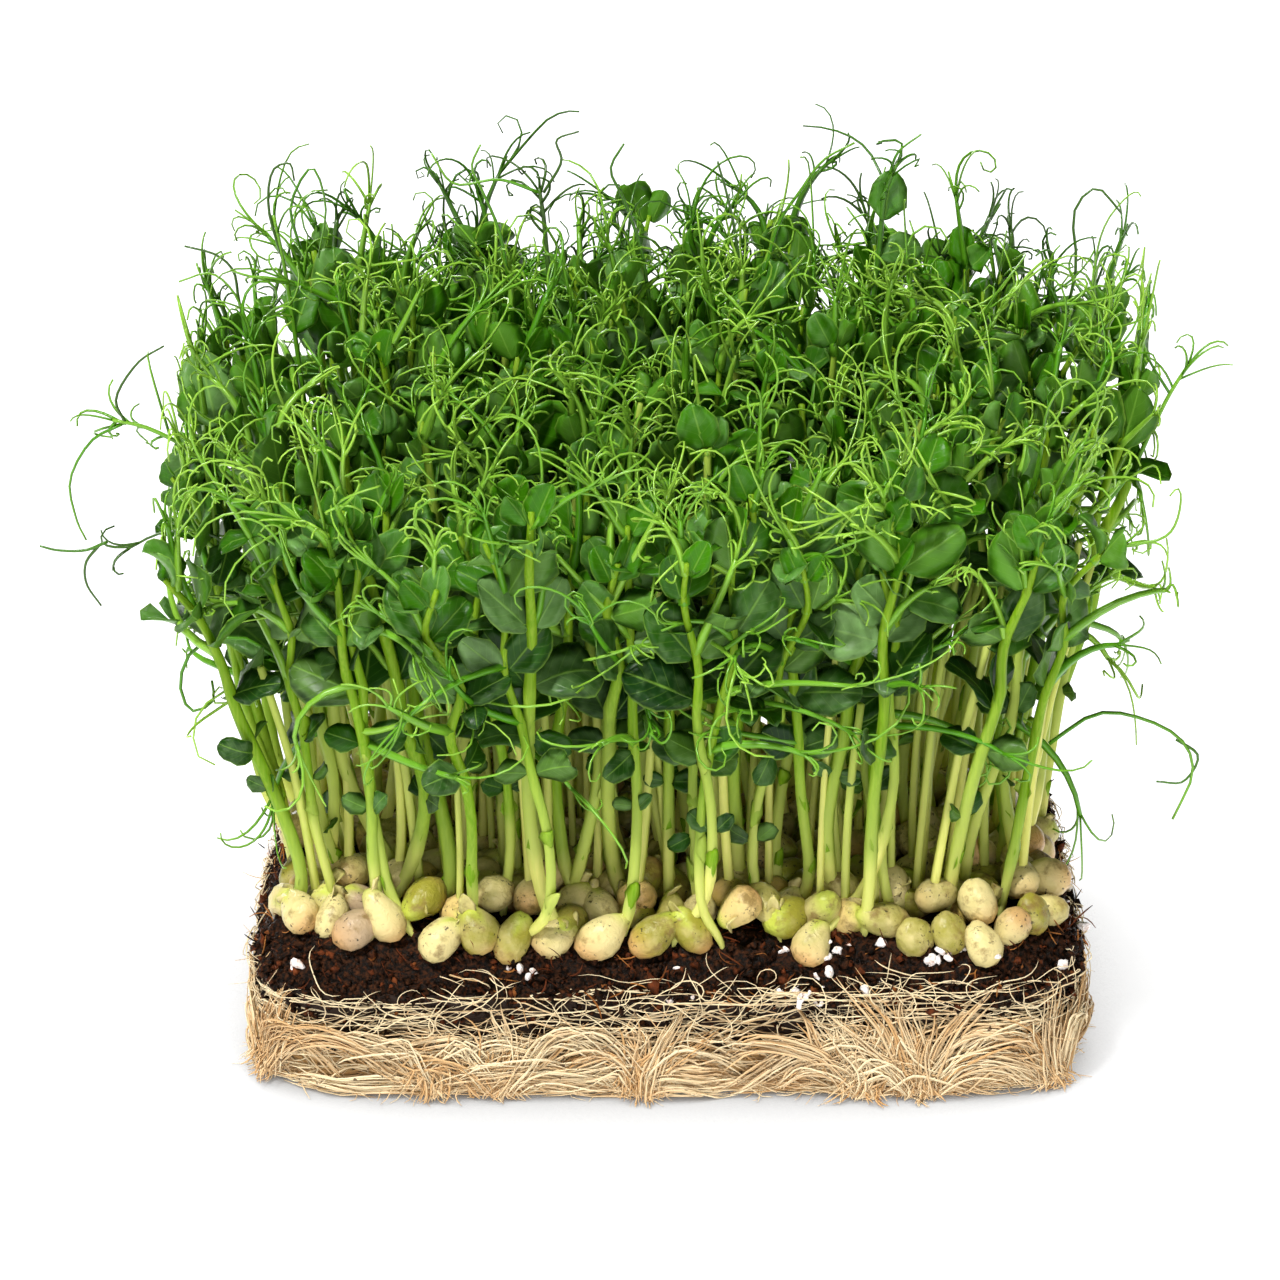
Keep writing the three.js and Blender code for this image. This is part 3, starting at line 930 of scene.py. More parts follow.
def medium_rings():
    """The crumbled surface as rings, from its hidden underside up the shoulder and in over the
    top."""
    run = np.linspace(0, PERIMETER, MEDIUM_COLUMNS, endpoint=False)
    rings = [skin_point(run, height, proud) for height, proud in [(6, -5), (MAT_TOP - 8, -3.6)]]
    rings += [
        skin_point(run, height, -0.25)
        for height in np.linspace(MAT_TOP - 2, MEDIUM_TOP, SHOULDER_RINGS - 2)
    ]
    shoulder = rings[-1]
    spine = shoulder.copy()
    spine[:, 0] = np.clip(spine[:, 0], HALF_DEPTH - HALF_WIDTH, HALF_WIDTH - HALF_DEPTH)
    spine[:, 1] = 0
    inwards = [0.03, 0.06, 0.1, 0.15, 0.21, 0.28, 0.36, 0.46, 0.58, 0.7, 0.84, 0.97]
    rings += [shoulder + (spine - shoulder) * share for share in inwards]
    rings = np.stack(rings)
    flat = rings.reshape(-1, 3)
    # Crumbs about 4, 2 and 1 mm wide.
    rough = lumps(flat, 4.1, seed=11) * 0.9 + lumps(flat, 1.9, seed=12) * 0.9
    rough = rough + lumps(flat, 1.1, seed=13) * 0.5
    return (flat + way_out(flat) * rough[:, None]).reshape(rings.shape)


def medium_block(rings):
    """The block as one closed body."""
    return Batch(rings.reshape(1, -1, 3), sleeve(*rings.shape[:2]), tint=0.1)


def on_medium(rng, rings, first, last, total):
    """Random places on the crumbled surface between two of its rings, and the way out there."""
    ring, column = rng.integers(first, last, total), rng.integers(0, rings.shape[1], total)
    share, next_column = rng.random((2, total, 1)), (column + 1) % rings.shape[1]
    near = rings[ring, column] * (1 - share[0]) + rings[ring, next_column] * share[0]
    far = rings[ring + 1, column] * (1 - share[0]) + rings[ring + 1, next_column] * share[0]
    places = near * (1 - share[1]) + far * share[1]
    return places, way_out(places)


def rough_bits(rng, places, sizes, detail, seed, dent=0.35, **values):
    """Irregular lumps at places: balls that are squashed, turned and dented."""
    ball, faces = unit_ball(np.linspace(0, math.pi, detail + 1)[1:-1] - math.pi / 2, detail + 2)
    total = len(places)
    squash = rng.uniform([0.75, 0.55, 0.4], [1.25, 0.95, 0.8], (total, 3))
    corners = ball[None] * squash[:, None]
    dents = lumps(corners * 1.4 + rng.uniform(0, 30, (total, 1, 3)), 1.0, seed)
    corners = corners * (1 + dent * dents[..., None])
    axes = unit(rng.normal(size=(total, 3)))
    second = across(rng.normal(size=(total, 3)), axes)
    turn = np.stack([axes, second, np.cross(axes, second)], axis=1)
    corners = np.einsum("nij,njk->nik", corners, turn) * sizes[:, None, None] + places[:, None]
    return Batch(corners, faces, **{name: value[:, None] for name, value in values.items()})


def crumbs(rng, slab, rings):
    """Chips of medium on the shoulder and round the edge of the top."""
    places, outward = on_medium(rng, rings, 2, SHOULDER_RINGS + 3, slab.crumbs)
    sizes = 0.4 + rng.gamma(2.2, 0.26, slab.crumbs)
    places = places + outward * sizes[:, None] * rng.uniform(-0.2, 0.6, (slab.crumbs, 1))
    # One in four lies on the mat's upper edge instead.
    spilt = rng.random(slab.crumbs) < 0.25
    run = rng.uniform(0, PERIMETER, spilt.sum())
    height = np.minimum(mat_edge(run) + rng.uniform(-9, 2, len(run)), MAT_TOP + 1.5)
    places[spilt] = skin_point(run, height, rng.uniform(0, 0.7, len(run)))
    tint = rng.uniform(0, 1, slab.crumbs) ** 2 * 1.3
    return rough_bits(rng, places, sizes, 2, 21, tint=tint)


def coir_fibres(rng, slab, rings):
    """Rust-brown coir threads on the medium."""
    total = slab.coir_fibres
    swell = np.array([0.6, 1, 1, 1, 0.9, 0.4])
    start, outward = on_medium(rng, rings, 3, SHOULDER_RINGS + 1, total)
    along = np.cross(outward, [0, 0, 1.0]) * rng.choice([-1, 1], (total, 1))
    heading = unit(
        unit(along) + outward * rng.normal(0.1, 0.35, (total, 1))
        + [0, 0, 1] * rng.normal(0, 0.6, (total, 1))
    )
    axis = across(rng.normal(size=(total, 3)), heading)
    reach = 2.5 + rng.gamma(2, 1.3, total)
    turn = rng.normal(0, 1.3, total)
    paths = curling_paths(start + outward * 0.3, heading, axis, reach, turn, len(swell))
    radius = rng.uniform(0.1, 0.24, (total, 1))
    return tubes(paths, radius * swell, 3, tint=rng.uniform(0.5, 1.5, total))


def perlite_grains(rng, slab, rings):
    """Perlite on the shoulder, alone and in little groups."""
    groups, outward = on_medium(rng, rings, 3, SHOULDER_RINGS + 1, slab.perlite_grains // 3)
    chosen = rng.integers(0, len(groups), slab.perlite_grains)
    beside = unit(np.cross(outward, [0, 0, 1.0]))[chosen]
    places = groups[chosen] + beside * rng.normal(0, 2.4, (len(chosen), 1))
    places = places + outward[chosen] * rng.uniform(0.2, 0.8, (len(chosen), 1))
    places[:, 2] += rng.normal(0, 0.8, len(chosen))
    sizes = slab.perlite_size / MM / 2 * rng.uniform(0.35, 1.05, len(chosen))
    return rough_bits(rng, places, sizes, 6, 31, dent=0.7)


# ---- Where the plants stand ----

# The canopy's growth, from the frame's seedlings: rows by depth, and the stem's two lengths there.
ROW_DEPTHS = [-48, -16, 16, 48]
STEM_LENGTHS = [54, 60, 64, 64]
TOP_LENGTHS = [46, 58, 62, 58]
# How much wider and deeper the tops of the bare stems stand than their feet.
FAN = np.array([0.09, 0.11])
# Where the nodes are, as shares of a plant's line, and how many points a line has.
NODES = [0.34, 0.51, 0.61, 0.73, 0.86]
LINE_RINGS = 29
# How far plants stand inside the outline and from the frame's seedlings, and how wide the rim is.
FOOT_INSET, SEEDLING_GAP, RIM_DEPTH = 6.0, 7.0, 23
# The same for the peas, and how high one lies that rests on others.
PEA_INSET, OWN_PEA_GAP, PILED_HEIGHT = 4.0, 5.0, 4.6
SEEDLINGS = [name.removeprefix("stem_") for name in sorted(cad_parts) if name.startswith("stem_")]


def ring_centres(node, sides=6):
    """The centres of a CAD rod's rings, from its foot up, in millimetres."""
    corners = np.array([corner.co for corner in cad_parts[node].data.vertices]) / MM
    corners = np.unique(np.round(corners, 3), axis=0)
    return corners[np.argsort(corners[:, 2])].reshape(-1, sides, 3).mean(axis=1)


def medium_height(points):
    """How high the medium's surface is at each place."""
    reach = np.array([HALF_WIDTH, HALF_DEPTH]) - CORNER
    inset = CORNER - np.linalg.norm(np.maximum(np.abs(points[:, :2]) - reach, 0), axis=-1)
    return np.interp(inset, SKIN_INSETS[3:8], SKIN_HEIGHTS[3:8])


def pushed_apart(spots, others, gap):
    """Moves each spot away from those of the others that are nearer than the gap."""
    apart = spots[:, None] - others[None]
    distance = np.linalg.norm(apart, axis=-1, keepdims=True)
    distance = np.where(distance < 1e-6, np.inf, distance)
    return spots + 0.4 * (apart / distance * np.maximum(gap - distance, 0)).sum(axis=1)


class Stand:
    """Every plant and pea on the slab. The frame's own seedlings come first, and the rest fill the
    places between them in rows."""

    def __init__(self, plant):
        rng = seeded("stand")
        self.own = len(SEEDLINGS)
        rods = np.stack([ring_centres(f"stem_{label}") for label in SEEDLINGS])
        feet, rows = self.fill(rng, plant, rods[:, 1, :2])
        self.feet = np.concatenate([rods[:, 1, :2], feet])
        self.total = len(self.feet)
        self.row = np.concatenate([np.full(len(rods), -1), rows])
        self.rim = ~inside_outline(self.feet, RIM_DEPTH)
        steep = (self.feet / [HALF_WIDTH, HALF_DEPTH]) ** 5
        self.outward = np.arctan2(steep[:, 1], steep[:, 0])
        self.peas = self.scatter_peas(rng, plant)
        self.lines = self.grow(rng, rods)
        self.tint = rng.uniform(0, 1, self.total)

    @staticmethod
    def fill(rng, plant, taken):
        """Feet for the rest of the plants, with the number of the row that each is in."""
        pitch = np.array([plant.plant_pitch, plant.row_pitch]) / MM
        feet, numbers = [], []
        for number, row in enumerate(np.arange(-6, 6) + 0.5):
            # Every other row is set over by half a pitch, and each plant strays from its place.
            columns = np.arange(-8, 9) + 0.5 * (number % 2)
            spots = np.column_stack([columns * pitch[0], np.full(len(columns), row * pitch[1])])
            spots = spots + rng.normal(0, [2.0, 1.6], spots.shape)
            spots = spots[inside_outline(spots, FOOT_INSET)]
            gaps = np.linalg.norm(spots[:, None] - taken[None], axis=-1).min(axis=1)
            spots = spots[gaps > SEEDLING_GAP]
            feet.append(spots)
            numbers.append(np.full(len(spots), number))
        return np.concatenate(feet), np.concatenate(numbers)

    def scatter_peas(self, rng, plant):
        """Peas side by side all over the top, nudged apart. The frame's own come first and stay."""
        boxes = [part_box(f"pea_seed_{label}") for label in SEEDLINGS]
        own = np.array([(np.array(low) + np.array(high)) / 2 / MM for low, high in boxes])
        pitch = plant.pea_width / MM
        rows, columns = np.mgrid[-8:9, -11:12]
        spots = np.stack([(columns + 0.5 * (rows % 2)) * 0.95, rows * 0.82], -1) * pitch
        spots = spots.reshape(-1, 2) + rng.normal(0, 1.2, (rows.size, 2))
        spots = spots[inside_outline(spots, PEA_INSET)]
        gaps = np.linalg.norm(spots[:, None] - own[None, :, :2], axis=-1).min(axis=1)
        spots = np.concatenate([own[:, :2], spots[gaps > OWN_PEA_GAP]])
        # The outermost peas end up on an uneven line.
        insets = rng.uniform(4.5, 9, (len(spots), 1))
        pushes, foot_gap, pea_gap = 14, 4.8, 0.93 * pitch
        for _ in range(pushes):
            spots = pushed_apart(pushed_apart(spots, self.feet, foot_gap), spots, pea_gap)
            spots = drawn_in(spots, insets)
            spots[: self.own] = own[:, :2]
        # Some rest on others, fewer of them near the edge.
        piled = rng.random(len(spots)) < np.where(inside_outline(spots, 14), 0.35, 0.15)
        height = medium_height(spots) + 2.0 + rng.uniform(-0.8, 1.0, len(spots))
        height = height + PILED_HEIGHT * piled
        height[: self.own] = own[:, 2]
        return np.column_stack([spots, height])

    def grow(self, rng, rods):
        """Each plant's line from under the medium to the tip of its shoot."""
        feet = self.feet[len(rods) :]
        total = len(feet)
        reach = np.interp(feet[:, 1], ROW_DEPTHS, STEM_LENGTHS) * rng.uniform(0.9, 1.1, total)
        away = compass(rng.uniform(0, 2 * math.pi, total))
        sway = compass(rng.uniform(0, 2 * math.pi, total)) * rng.uniform(0.5, 9.0, (total, 1))
        slump = np.minimum(rng.gamma(2.0, 2.4, (total, 1)), 11.0)
        ground = np.column_stack([feet, medium_height(feet)])

        def at(share, drift, swing):
            """Places this far up the bare stems, drifted and swung aside."""
            flat = feet * (1 + FAN * share**2)
            point = np.column_stack([flat, ground[:, 2] + reach * share])
            return point + away * drift + sway * swing

        # A stem slumps to one side above its foot, and comes partly back higher up.
        lower = [
            ground - [0, 0, 6] - away * 0.8,
            ground,
            at(0.2, slump, 0.0),
            at(0.6, slump * 1.2, 0.7),
            at(1, slump * 0.7, 1.0),
        ]
        controls = np.concatenate([rods[:, [0, 1, 3, 5, 7]], np.stack(lower, axis=1)])

        everyone = self.total
        tip, before = controls[:, 4], controls[:, 3]
        heading = unit(unit(tip - before) * [1, 1, 1.6])
        length = np.interp(self.feet[:, 1], ROW_DEPTHS, TOP_LENGTHS)[:, None]
        # Plants at the two ends of the slab are shorter, which rounds the canopy.
        length = length * (1 - 0.2 * np.clip((np.abs(self.feet[:, :1]) - 58) / 28, 0, 1))
        length = length * rng.uniform(0.8, 1.08, (everyone, 1))
        bend = compass(rng.uniform(0, 2 * math.pi, everyone)) * rng.uniform(1, 4, (everyone, 1))
        lean = compass(self.outward) * np.where(self.rim, rng.uniform(0, 7, everyone), 0)[:, None]
        upper = [
            tip + heading * length * 0.35 + bend * 0.8,
            tip + heading * length * 0.7 - bend * 0.3 + lean * 0.35,
            tip + heading * length + bend * 0.6 + lean,
        ]
        controls = np.concatenate([controls, np.stack(upper, axis=1)], axis=1)
        lines = smooth_path(controls, LINE_RINGS)
        # A stem turns a little at each node, to one side and then to the other.
        share = np.linspace(0, 1, LINE_RINGS)
        kink = np.interp(share, [0, 0.2] + NODES + [1], [0, 0, 1, -1, 1, -1, 1, 0])
        aside = compass(rng.uniform(0, 2 * math.pi, everyone)) * rng.uniform(0.2, 1.3, (everyone, 1))
        return lines + aside[:, None] * kink[None, :, None]

    def nearest_in_rows(self, points):
        """Which plant of the rows, not one of the frame's own, is nearest to each point."""
        rowed = np.flatnonzero(self.row >= 0)
        gaps = np.linalg.norm(points[:, None, :2] - self.feet[rowed][None], axis=-1)
        return rowed[gaps.argmin(axis=1)]

    def parts(self):
        """Pairs of a part's name and the plants in it: one part for each of the frame's seedlings,
        then one for each row of the rest."""
        own = [(label, np.array([i])) for i, label in enumerate(SEEDLINGS)]
        rows = np.unique(self.row[self.row >= 0])
        return own + [(f"row_{row + 1:02d}", np.flatnonzero(self.row == row)) for row in rows]


def build_parts(stand, kind, batches, material, node):
    """One piece for each part of the stand. A seedling's piece stands for its CAD node."""
    for label, plants in stand.parts():
        chosen = [batch.of(plants) for batch in batches]
        chosen = [batch for batch in chosen if len(batch.corners)]
        replaced = (f"{node}_{label}",) if label in SEEDLINGS else ()
        make_piece(f"{kind}_{label}", chosen, material, replaced)


# ---- Leaf blades, large and small ----

# Half a blade's thickness, in millimetres.
HALF_BLADE = 0.16


def blades(foot, heading, face, length, width, bend, fold, cells, owner, phase, **values):
    """Thin closed blades. Each leaves its foot along heading, with its upper side towards face,
    bends back by an angle over its length, and folds up each side of its midrib."""
    wide, long = cells
    # Rows crowd towards both ends, so that the ends come out round.
    share = 0.5 - 0.494 * np.cos(np.linspace(0, math.pi, long + 1))
    aside = np.linspace(-1, 1, wide + 1)
    full = share**0.88
    spread = (4 * full * (1 - full)) ** 0.47 * (0.55 + 0.45 * np.clip(share * 3.2, 0, 1))
    total = len(foot)
    side = np.cross(heading, face)
    angle = bend[:, None] * share
    curve = np.where(np.abs(bend) < 1e-3, 1e-3, bend)[:, None]
    run, drop = np.sin(curve * share) / curve, (1 - np.cos(curve * share)) / curve
    middle = foot[:, None] + length[:, None, None] * (
        heading[:, None] * run[..., None] - face[:, None] * drop[..., None]
    )
    normal = heading[:, None] * np.sin(angle)[..., None] + face[:, None] * np.cos(angle)[..., None]
    ripple = 0.05 * np.sin(share * 15 + phase[:, None])
    half = (width / 2)[:, None] * spread * (1 + ripple)
    # Each side of the midrib rises, and the rim waves.
    rise = fold[:, None, None] * half[..., None] * np.abs(aside) ** 1.35
    waves = np.sin(share[:, None] * 8 + phase[:, None, None] + aside * 1.7) * aside**2
    lift = rise + 0.08 * width[:, None, None] * waves
    sheet = (
        middle[:, :, None]
        + side[:, None, None] * (half[..., None] * aside)[..., None]
        + normal[:, :, None] * lift[..., None]
    )
    # The upper and lower skins meet at the rim.
    upper = sheet.copy()
    inner = (slice(None), slice(1, -1), slice(1, -1))
    upper[inner] += normal[:, 1:-1, None] * HALF_BLADE
    lower = (sheet[inner] - normal[:, 1:-1, None] * HALF_BLADE).reshape(total, -1, 3)
    rim_size = (long + 1) * (wide + 1)
    corners = np.concatenate([upper.reshape(total, rim_size, 3), lower], axis=1)

    grid = np.arange(rim_size).reshape(long + 1, wide + 1)
    under = grid.copy()
    under[1:-1, 1:-1] = rim_size + np.arange((long - 1) * (wide - 1)).reshape(long - 1, wide - 1)
    over = np.stack([grid[:-1, :-1], grid[:-1, 1:], grid[1:, 1:], grid[1:, :-1]], -1)
    back = np.stack([under[:-1, :-1], under[1:, :-1], under[1:, 1:], under[:-1, 1:]], -1)

    def both_skins(flat):
        flat = np.broadcast_to(flat, (long + 1, wide + 1))
        return np.concatenate([flat.ravel(), flat[1:-1, 1:-1].ravel()])

    beneath = np.concatenate([np.zeros(rim_size), np.ones(lower.shape[1])])
    per_body = {name: value[:, None] for name, value in values.items()}
    return Batch(
        corners,
        [over.reshape(-1, 4), back.reshape(-1, 4)],
        owner,
        aside=both_skins(aside[None]),
        along=both_skins(share[:, None]),
        beneath=beneath,
        **per_body,
    )


def only(batch, names):
    """The same bodies with only these values."""
    batch.values = {name: batch.values[name] for name in names}
    return batch


# ---- Peas ----

# Rings crowd towards the neck, where a pea is drawn out.
PEA_LATITUDES = np.radians([-58, -30, -4, 20, 40, 57, 70, 81])
PEA_SIDES = 12


def pea_bodies(rng, stand, plant):
    """Soaked peas: dented, and drawn out on one side into the neck that the sprout leaves by. A
    torn flap of seed coat stands up by some of the necks. Along is green at the neck and under 0
    at the far end."""
    ball, faces = unit_ball(PEA_LATITUDES, PEA_SIDES)
    # Each pea belongs to the plant that it is nearest to, and its neck points at that plant's foot.
    peas = stand.peas
    total = len(peas)
    owner = np.linalg.norm(peas[:, None, :2] - stand.feet[None], axis=-1).argmin(axis=1)
    owner[: stand.own] = np.arange(stand.own)
    foot = stand.feet[owner]
    towards = np.column_stack([foot, medium_height(foot) + rng.uniform(2, 8, total)]) - peas
    sprouted = np.linalg.norm(towards, axis=1) < 9.5
    neck = unit(np.where(sprouted[:, None], towards, rng.normal(size=(total, 3)) + [0, -0.4, 0.4]))
    # A seedling of the frame has only its own pea, so a neighbour's row holds any other near it.
    strays = (np.arange(total) >= stand.own) & (owner < stand.own)
    owner[strays] = stand.nearest_in_rows(peas[strays])

    squash = rng.uniform([0.9, 0.8, 0.96], [1.04, 0.95, 1.16], (total, 3))
    pole = ball[:, 2]
    drawn = 1 + np.where(sprouted[:, None], 0.55, 0.25) * np.exp((pole - 1) * 5)
    seam = np.exp(-((ball[:, 0] / 0.16) ** 2)) * np.clip(pole + 0.35, 0, 1)
    corners = ball[None] * squash[:, None] * drawn[..., None]
    shift = rng.uniform(0, 30, (total, 1, 3))
    dents = 0.15 * lumps(corners * 0.8 + shift, 1.0, seed=41)
    dents = dents + 0.05 * lumps(corners * 2 + shift, 1.0, seed=42)
    corners = corners * (1.02 + dents - 0.07 * seam)[..., None]
    second = across(rng.normal(size=(total, 3)), neck)
    turn = np.stack([second, np.cross(neck, second), neck], axis=1)
    radius = plant.pea_width / MM / 2 * rng.uniform(0.9, 1.1, total)
    radius[: stand.own] = plant.pea_width / MM / 2
    corners = np.einsum("nij,njk->nik", corners, turn) * radius[:, None, None] + peas[:, None]
    tint = rng.uniform(0, 1, total)
    green = np.where(sprouted[:, None], np.exp((pole - 1) * 5) + 0.5 * seam, 0.3 * seam)
    green = green - rng.random((total, 1)) * np.exp(-(pole + 1) * 2)
    bodies = Batch(corners, faces, owner, tint=tint[:, None], along=green)

    torn = np.flatnonzero(sprouted & (rng.random(total) < 0.7))
    flare = unit(neck[torn] * 0.5 + [0, 0, 0.8] + rng.normal(0, 0.35, (len(torn), 3)))
    flaps = blades(
        peas[torn] + neck[torn] * radius[torn, None] * 0.86,
        flare,
        across(rng.normal(size=(len(torn), 3)), flare),
        rng.uniform(3.5, 7, len(torn)),
        rng.uniform(2.8, 5, len(torn)),
        rng.normal(0.5, 0.6, len(torn)),
        rng.uniform(0.3, 0.9, len(torn)),
        (4, 4),
        owner[torn],
        rng.uniform(0, 6.3, len(torn)),
        tint=tint[torn] * 0.4 + 0.25,
    )
    flaps.values["along"] = flaps.values["along"] * 0.4
    return [bodies, only(flaps, ["tint", "along"])]


# ---- Leaves ----

# Tiers of leaves up the shoot, and last the small ones near its lowest node. Angles are in radians,
# lengths in millimetres, and sizes are shares of a grown leaf. Of the pair of leaves:
#   share, size, level: where it sits on the plant's line, how large and how young it is
#   rise, spread: how far the midrib rises, and how much that varies
#   sweep, fold, bend: how far each turns from the side that the pair faces, and the blade's shape
#   bloom: the most of it at the rim
#   kept, rows: the share of plants that keep the pair, and the rows of faces along a blade, at the
#   rim and then inside, where less of it shows
# Of the leaf stalk:
#   borne, stalk, stalk_rise: the share of plants that bear it, how long it is and how far it rises
#   strands, strand_length, leaflets: its tendrils, how long they are, and the size of its leaflets
LEAF_TIERS = [
    dict(share=NODES[1], size=0.60, rise=0.30, spread=0.50, sweep=1.6, fold=0.25, bend=0.5,
         level=0.10, bloom=0, kept=(0.7, 0.35), rows=(9, 4),
         borne=0.55, stalk=24, stalk_rise=0.25, strands=4, strand_length=16, leaflets=0),
    dict(share=NODES[2], size=0.95, rise=0.75, spread=0.40, sweep=2.2, fold=0.20, bend=0.4,
         level=0.00, bloom=0, kept=(0.85, 1), rows=(9, 4),
         borne=0.7, stalk=26, stalk_rise=0.55, strands=4, strand_length=15, leaflets=0.6),
    dict(share=NODES[3], size=0.88, rise=0.70, spread=0.45, sweep=1.75, fold=0.30, bend=0.4,
         level=0.35, bloom=0.4, kept=(1, 1), rows=(9, 5),
         borne=1, stalk=24, stalk_rise=0.80, strands=5, strand_length=13, leaflets=0.7),
    dict(share=NODES[4], size=0.88, rise=1.00, spread=0.30, sweep=1.45, fold=0.40, bend=0.3,
         level=0.65, bloom=0, kept=(1, 1), rows=(9, 5),
         borne=1, stalk=23, stalk_rise=1.10, strands=5, strand_length=13, leaflets=0.6),
    dict(share=0.96, size=0.60, rise=1.20, spread=0.25, sweep=1.45, fold=0.60, bend=0.1,
         level=0.95, bloom=0, kept=(1, 1), rows=(9, 5),
         borne=1, stalk=16, stalk_rise=1.30, strands=6, strand_length=13.5, leaflets=0),
    dict(share=0.40, size=0.38, rise=0.45, spread=0.40, sweep=1.3, fold=0.35, bend=0.4,
         level=0.05, bloom=0, kept=(0.6, 0.3), rows=(4, 4),
         borne=0, stalk=0, stalk_rise=0, strands=0, strand_length=0, leaflets=0),
]
# The lowest tiers bear stalks only at the rim.
RIM_TIERS = 2
STALK_RINGS = 7


def leaf_stalks(stand):
    """The stalk at each tier of each plant, as its owner, its path and a direction square to it.
    Stalks at the rim reach outwards, and low down some have fallen."""
    rng = seeded("stalks")
    tiers = []
    for number, tier in enumerate(LEAF_TIERS):
        owner = np.flatnonzero(stand.rim) if number < RIM_TIERS else np.arange(stand.total)
        owner = owner[rng.random(len(owner)) < tier["borne"]]
        total = len(owner)
        foot, _ = point_on(stand.lines[owner], np.full(total, tier["share"]))
        swing = rng.uniform(0.2, 1.5, total) * rng.choice([-1, 1], total)
        azimuth = np.where(stand.rim[owner], stand.outward[owner] + swing, rng.uniform(0, 6.3, total))
        heading = compass(azimuth, tier["stalk_rise"] + rng.normal(0, 0.3, total))
        side = across(np.cross(heading, [0, 0, 1.0]) + rng.normal(0, 0.3, (total, 3)), heading)
        length = tier["stalk"] * rng.uniform(0.5, 1.35, total)
        arch = rng.normal(-0.25, 0.6, total)
        path = curling_paths(foot, heading, side, length, arch, STALK_RINGS, tighten=1.3)
        tiers.append((owner, path, side))
    return tiers


def leaves(rng, stand, plant):
    """Two leaves clasp the stem at each tier, and at the rim they face outwards. The lowest ones
    fall, most of them in the dark inside the stand. Smaller leaflets sit in pairs on the stalks."""
    batches = []
    leaf = np.array([plant.leaf_length, plant.leaf_width]) / MM
    for tier, stalks in zip(LEAF_TIERS, leaf_stalks(stand)):
        kept = rng.random(stand.total) < np.where(stand.rim, *tier["kept"])
        owner = np.repeat(np.flatnonzero(kept), 2)
        total = len(owner)
        rim = stand.rim[owner]
        hand = np.tile([-1, 1], total // 2)
        turned = np.repeat(rng.normal(0, 1, total // 2), 2)
        facing = stand.outward[owner] + turned * np.where(rim, 0.45, 2.5)
        azimuth = facing + hand * (tier["sweep"] + rng.normal(0, 0.3, total))
        foot, _ = point_on(stand.lines, tier["share"] + rng.normal(0, 0.018, stand.total))
        heading = compass(azimuth, tier["rise"] + rng.normal(0, tier["spread"], total))
        face = across(compass(facing, 0.45 + rng.normal(0, 0.3, total)), heading)
        # Some leaves turn over and show their paler underside.
        face = face * np.where(rng.random((total, 1)) < 0.22, -1, 1)
        grown = tier["size"] * rng.uniform(0.75, 1.15, total)
        bloom = rng.uniform(-0.15, 0.14, total) + tier["bloom"] * rim * rng.random(total)
        clasping = dict(
            foot=foot[owner] + compass(azimuth) * 0.9,
            heading=heading,
            face=face,
            length=leaf[0] * grown,
            width=leaf[1] * grown * rng.uniform(0.85, 1.15, total),
            bend=tier["bend"] + rng.normal(0, 0.35, total),
            fold=tier["fold"] + rng.normal(0, 0.12, total),
            owner=owner,
            phase=rng.uniform(0, 2 * math.pi, total),
            tint=rng.uniform(0, 1, total),
            level=np.full(total, tier["level"]),
            bloom=bloom,
        )
        for chosen, rows in zip((rim, ~rim), tier["rows"]):
            if chosen.any():
                some = {name: value[chosen] for name, value in clasping.items()}
                batches.append(blades(cells=(4, rows), **some))

        if not tier["leaflets"]:
            continue
        # All the stalks inside the stand bear leaflets, and half of those at the rim.
        borne = ~stand.rim[stalks[0]]
        borne |= rng.random(len(borne)) < 0.5
        bearer, path, side = (np.repeat(value[borne], 2, axis=0) for value in stalks)
        total = len(bearer)
        hand = np.tile([-1, 1], total // 2)[:, None]
        foot, forward = point_on(path, np.repeat(rng.uniform(0.2, 0.5, total // 2), 2))
        heading = unit(forward * 0.55 + across(side, forward) * hand + rng.normal(0, 0.25, (total, 3)))
        face = across(rng.normal(0, 0.35, (total, 3)) + [0, -0.25, 1.0], heading)
        grown = tier["leaflets"] * rng.uniform(0.7, 1.2, total)
        batches.append(
            blades(
                foot,
                heading,
                face,
                leaf[0] * grown,
                leaf[1] * grown * rng.uniform(0.8, 1.1, total),
                rng.normal(0.4, 0.4, total),
                rng.normal(0.35, 0.15, total),
                (4, 4),
                bearer,
                rng.uniform(0, 2 * math.pi, total),
                tint=rng.uniform(0, 1, total),
                level=np.full(total, tier["level"]) + 0.1,
                bloom=rng.uniform(-0.1, 0.2, total),
            )
        )
    return batches


# ---- Stems ----

LATE_SHOOTS = 130
# The stem's thickness along it, as a share of its width above the medium.
STEM_SHARES = [0, 0.1, 0.15, 0.22, 0.5, 0.6, 0.75, 1]
STEM_TAPER = [0.25, 0.42, 0.72, 1.0, 0.92, 0.84, 0.72, 0.46]


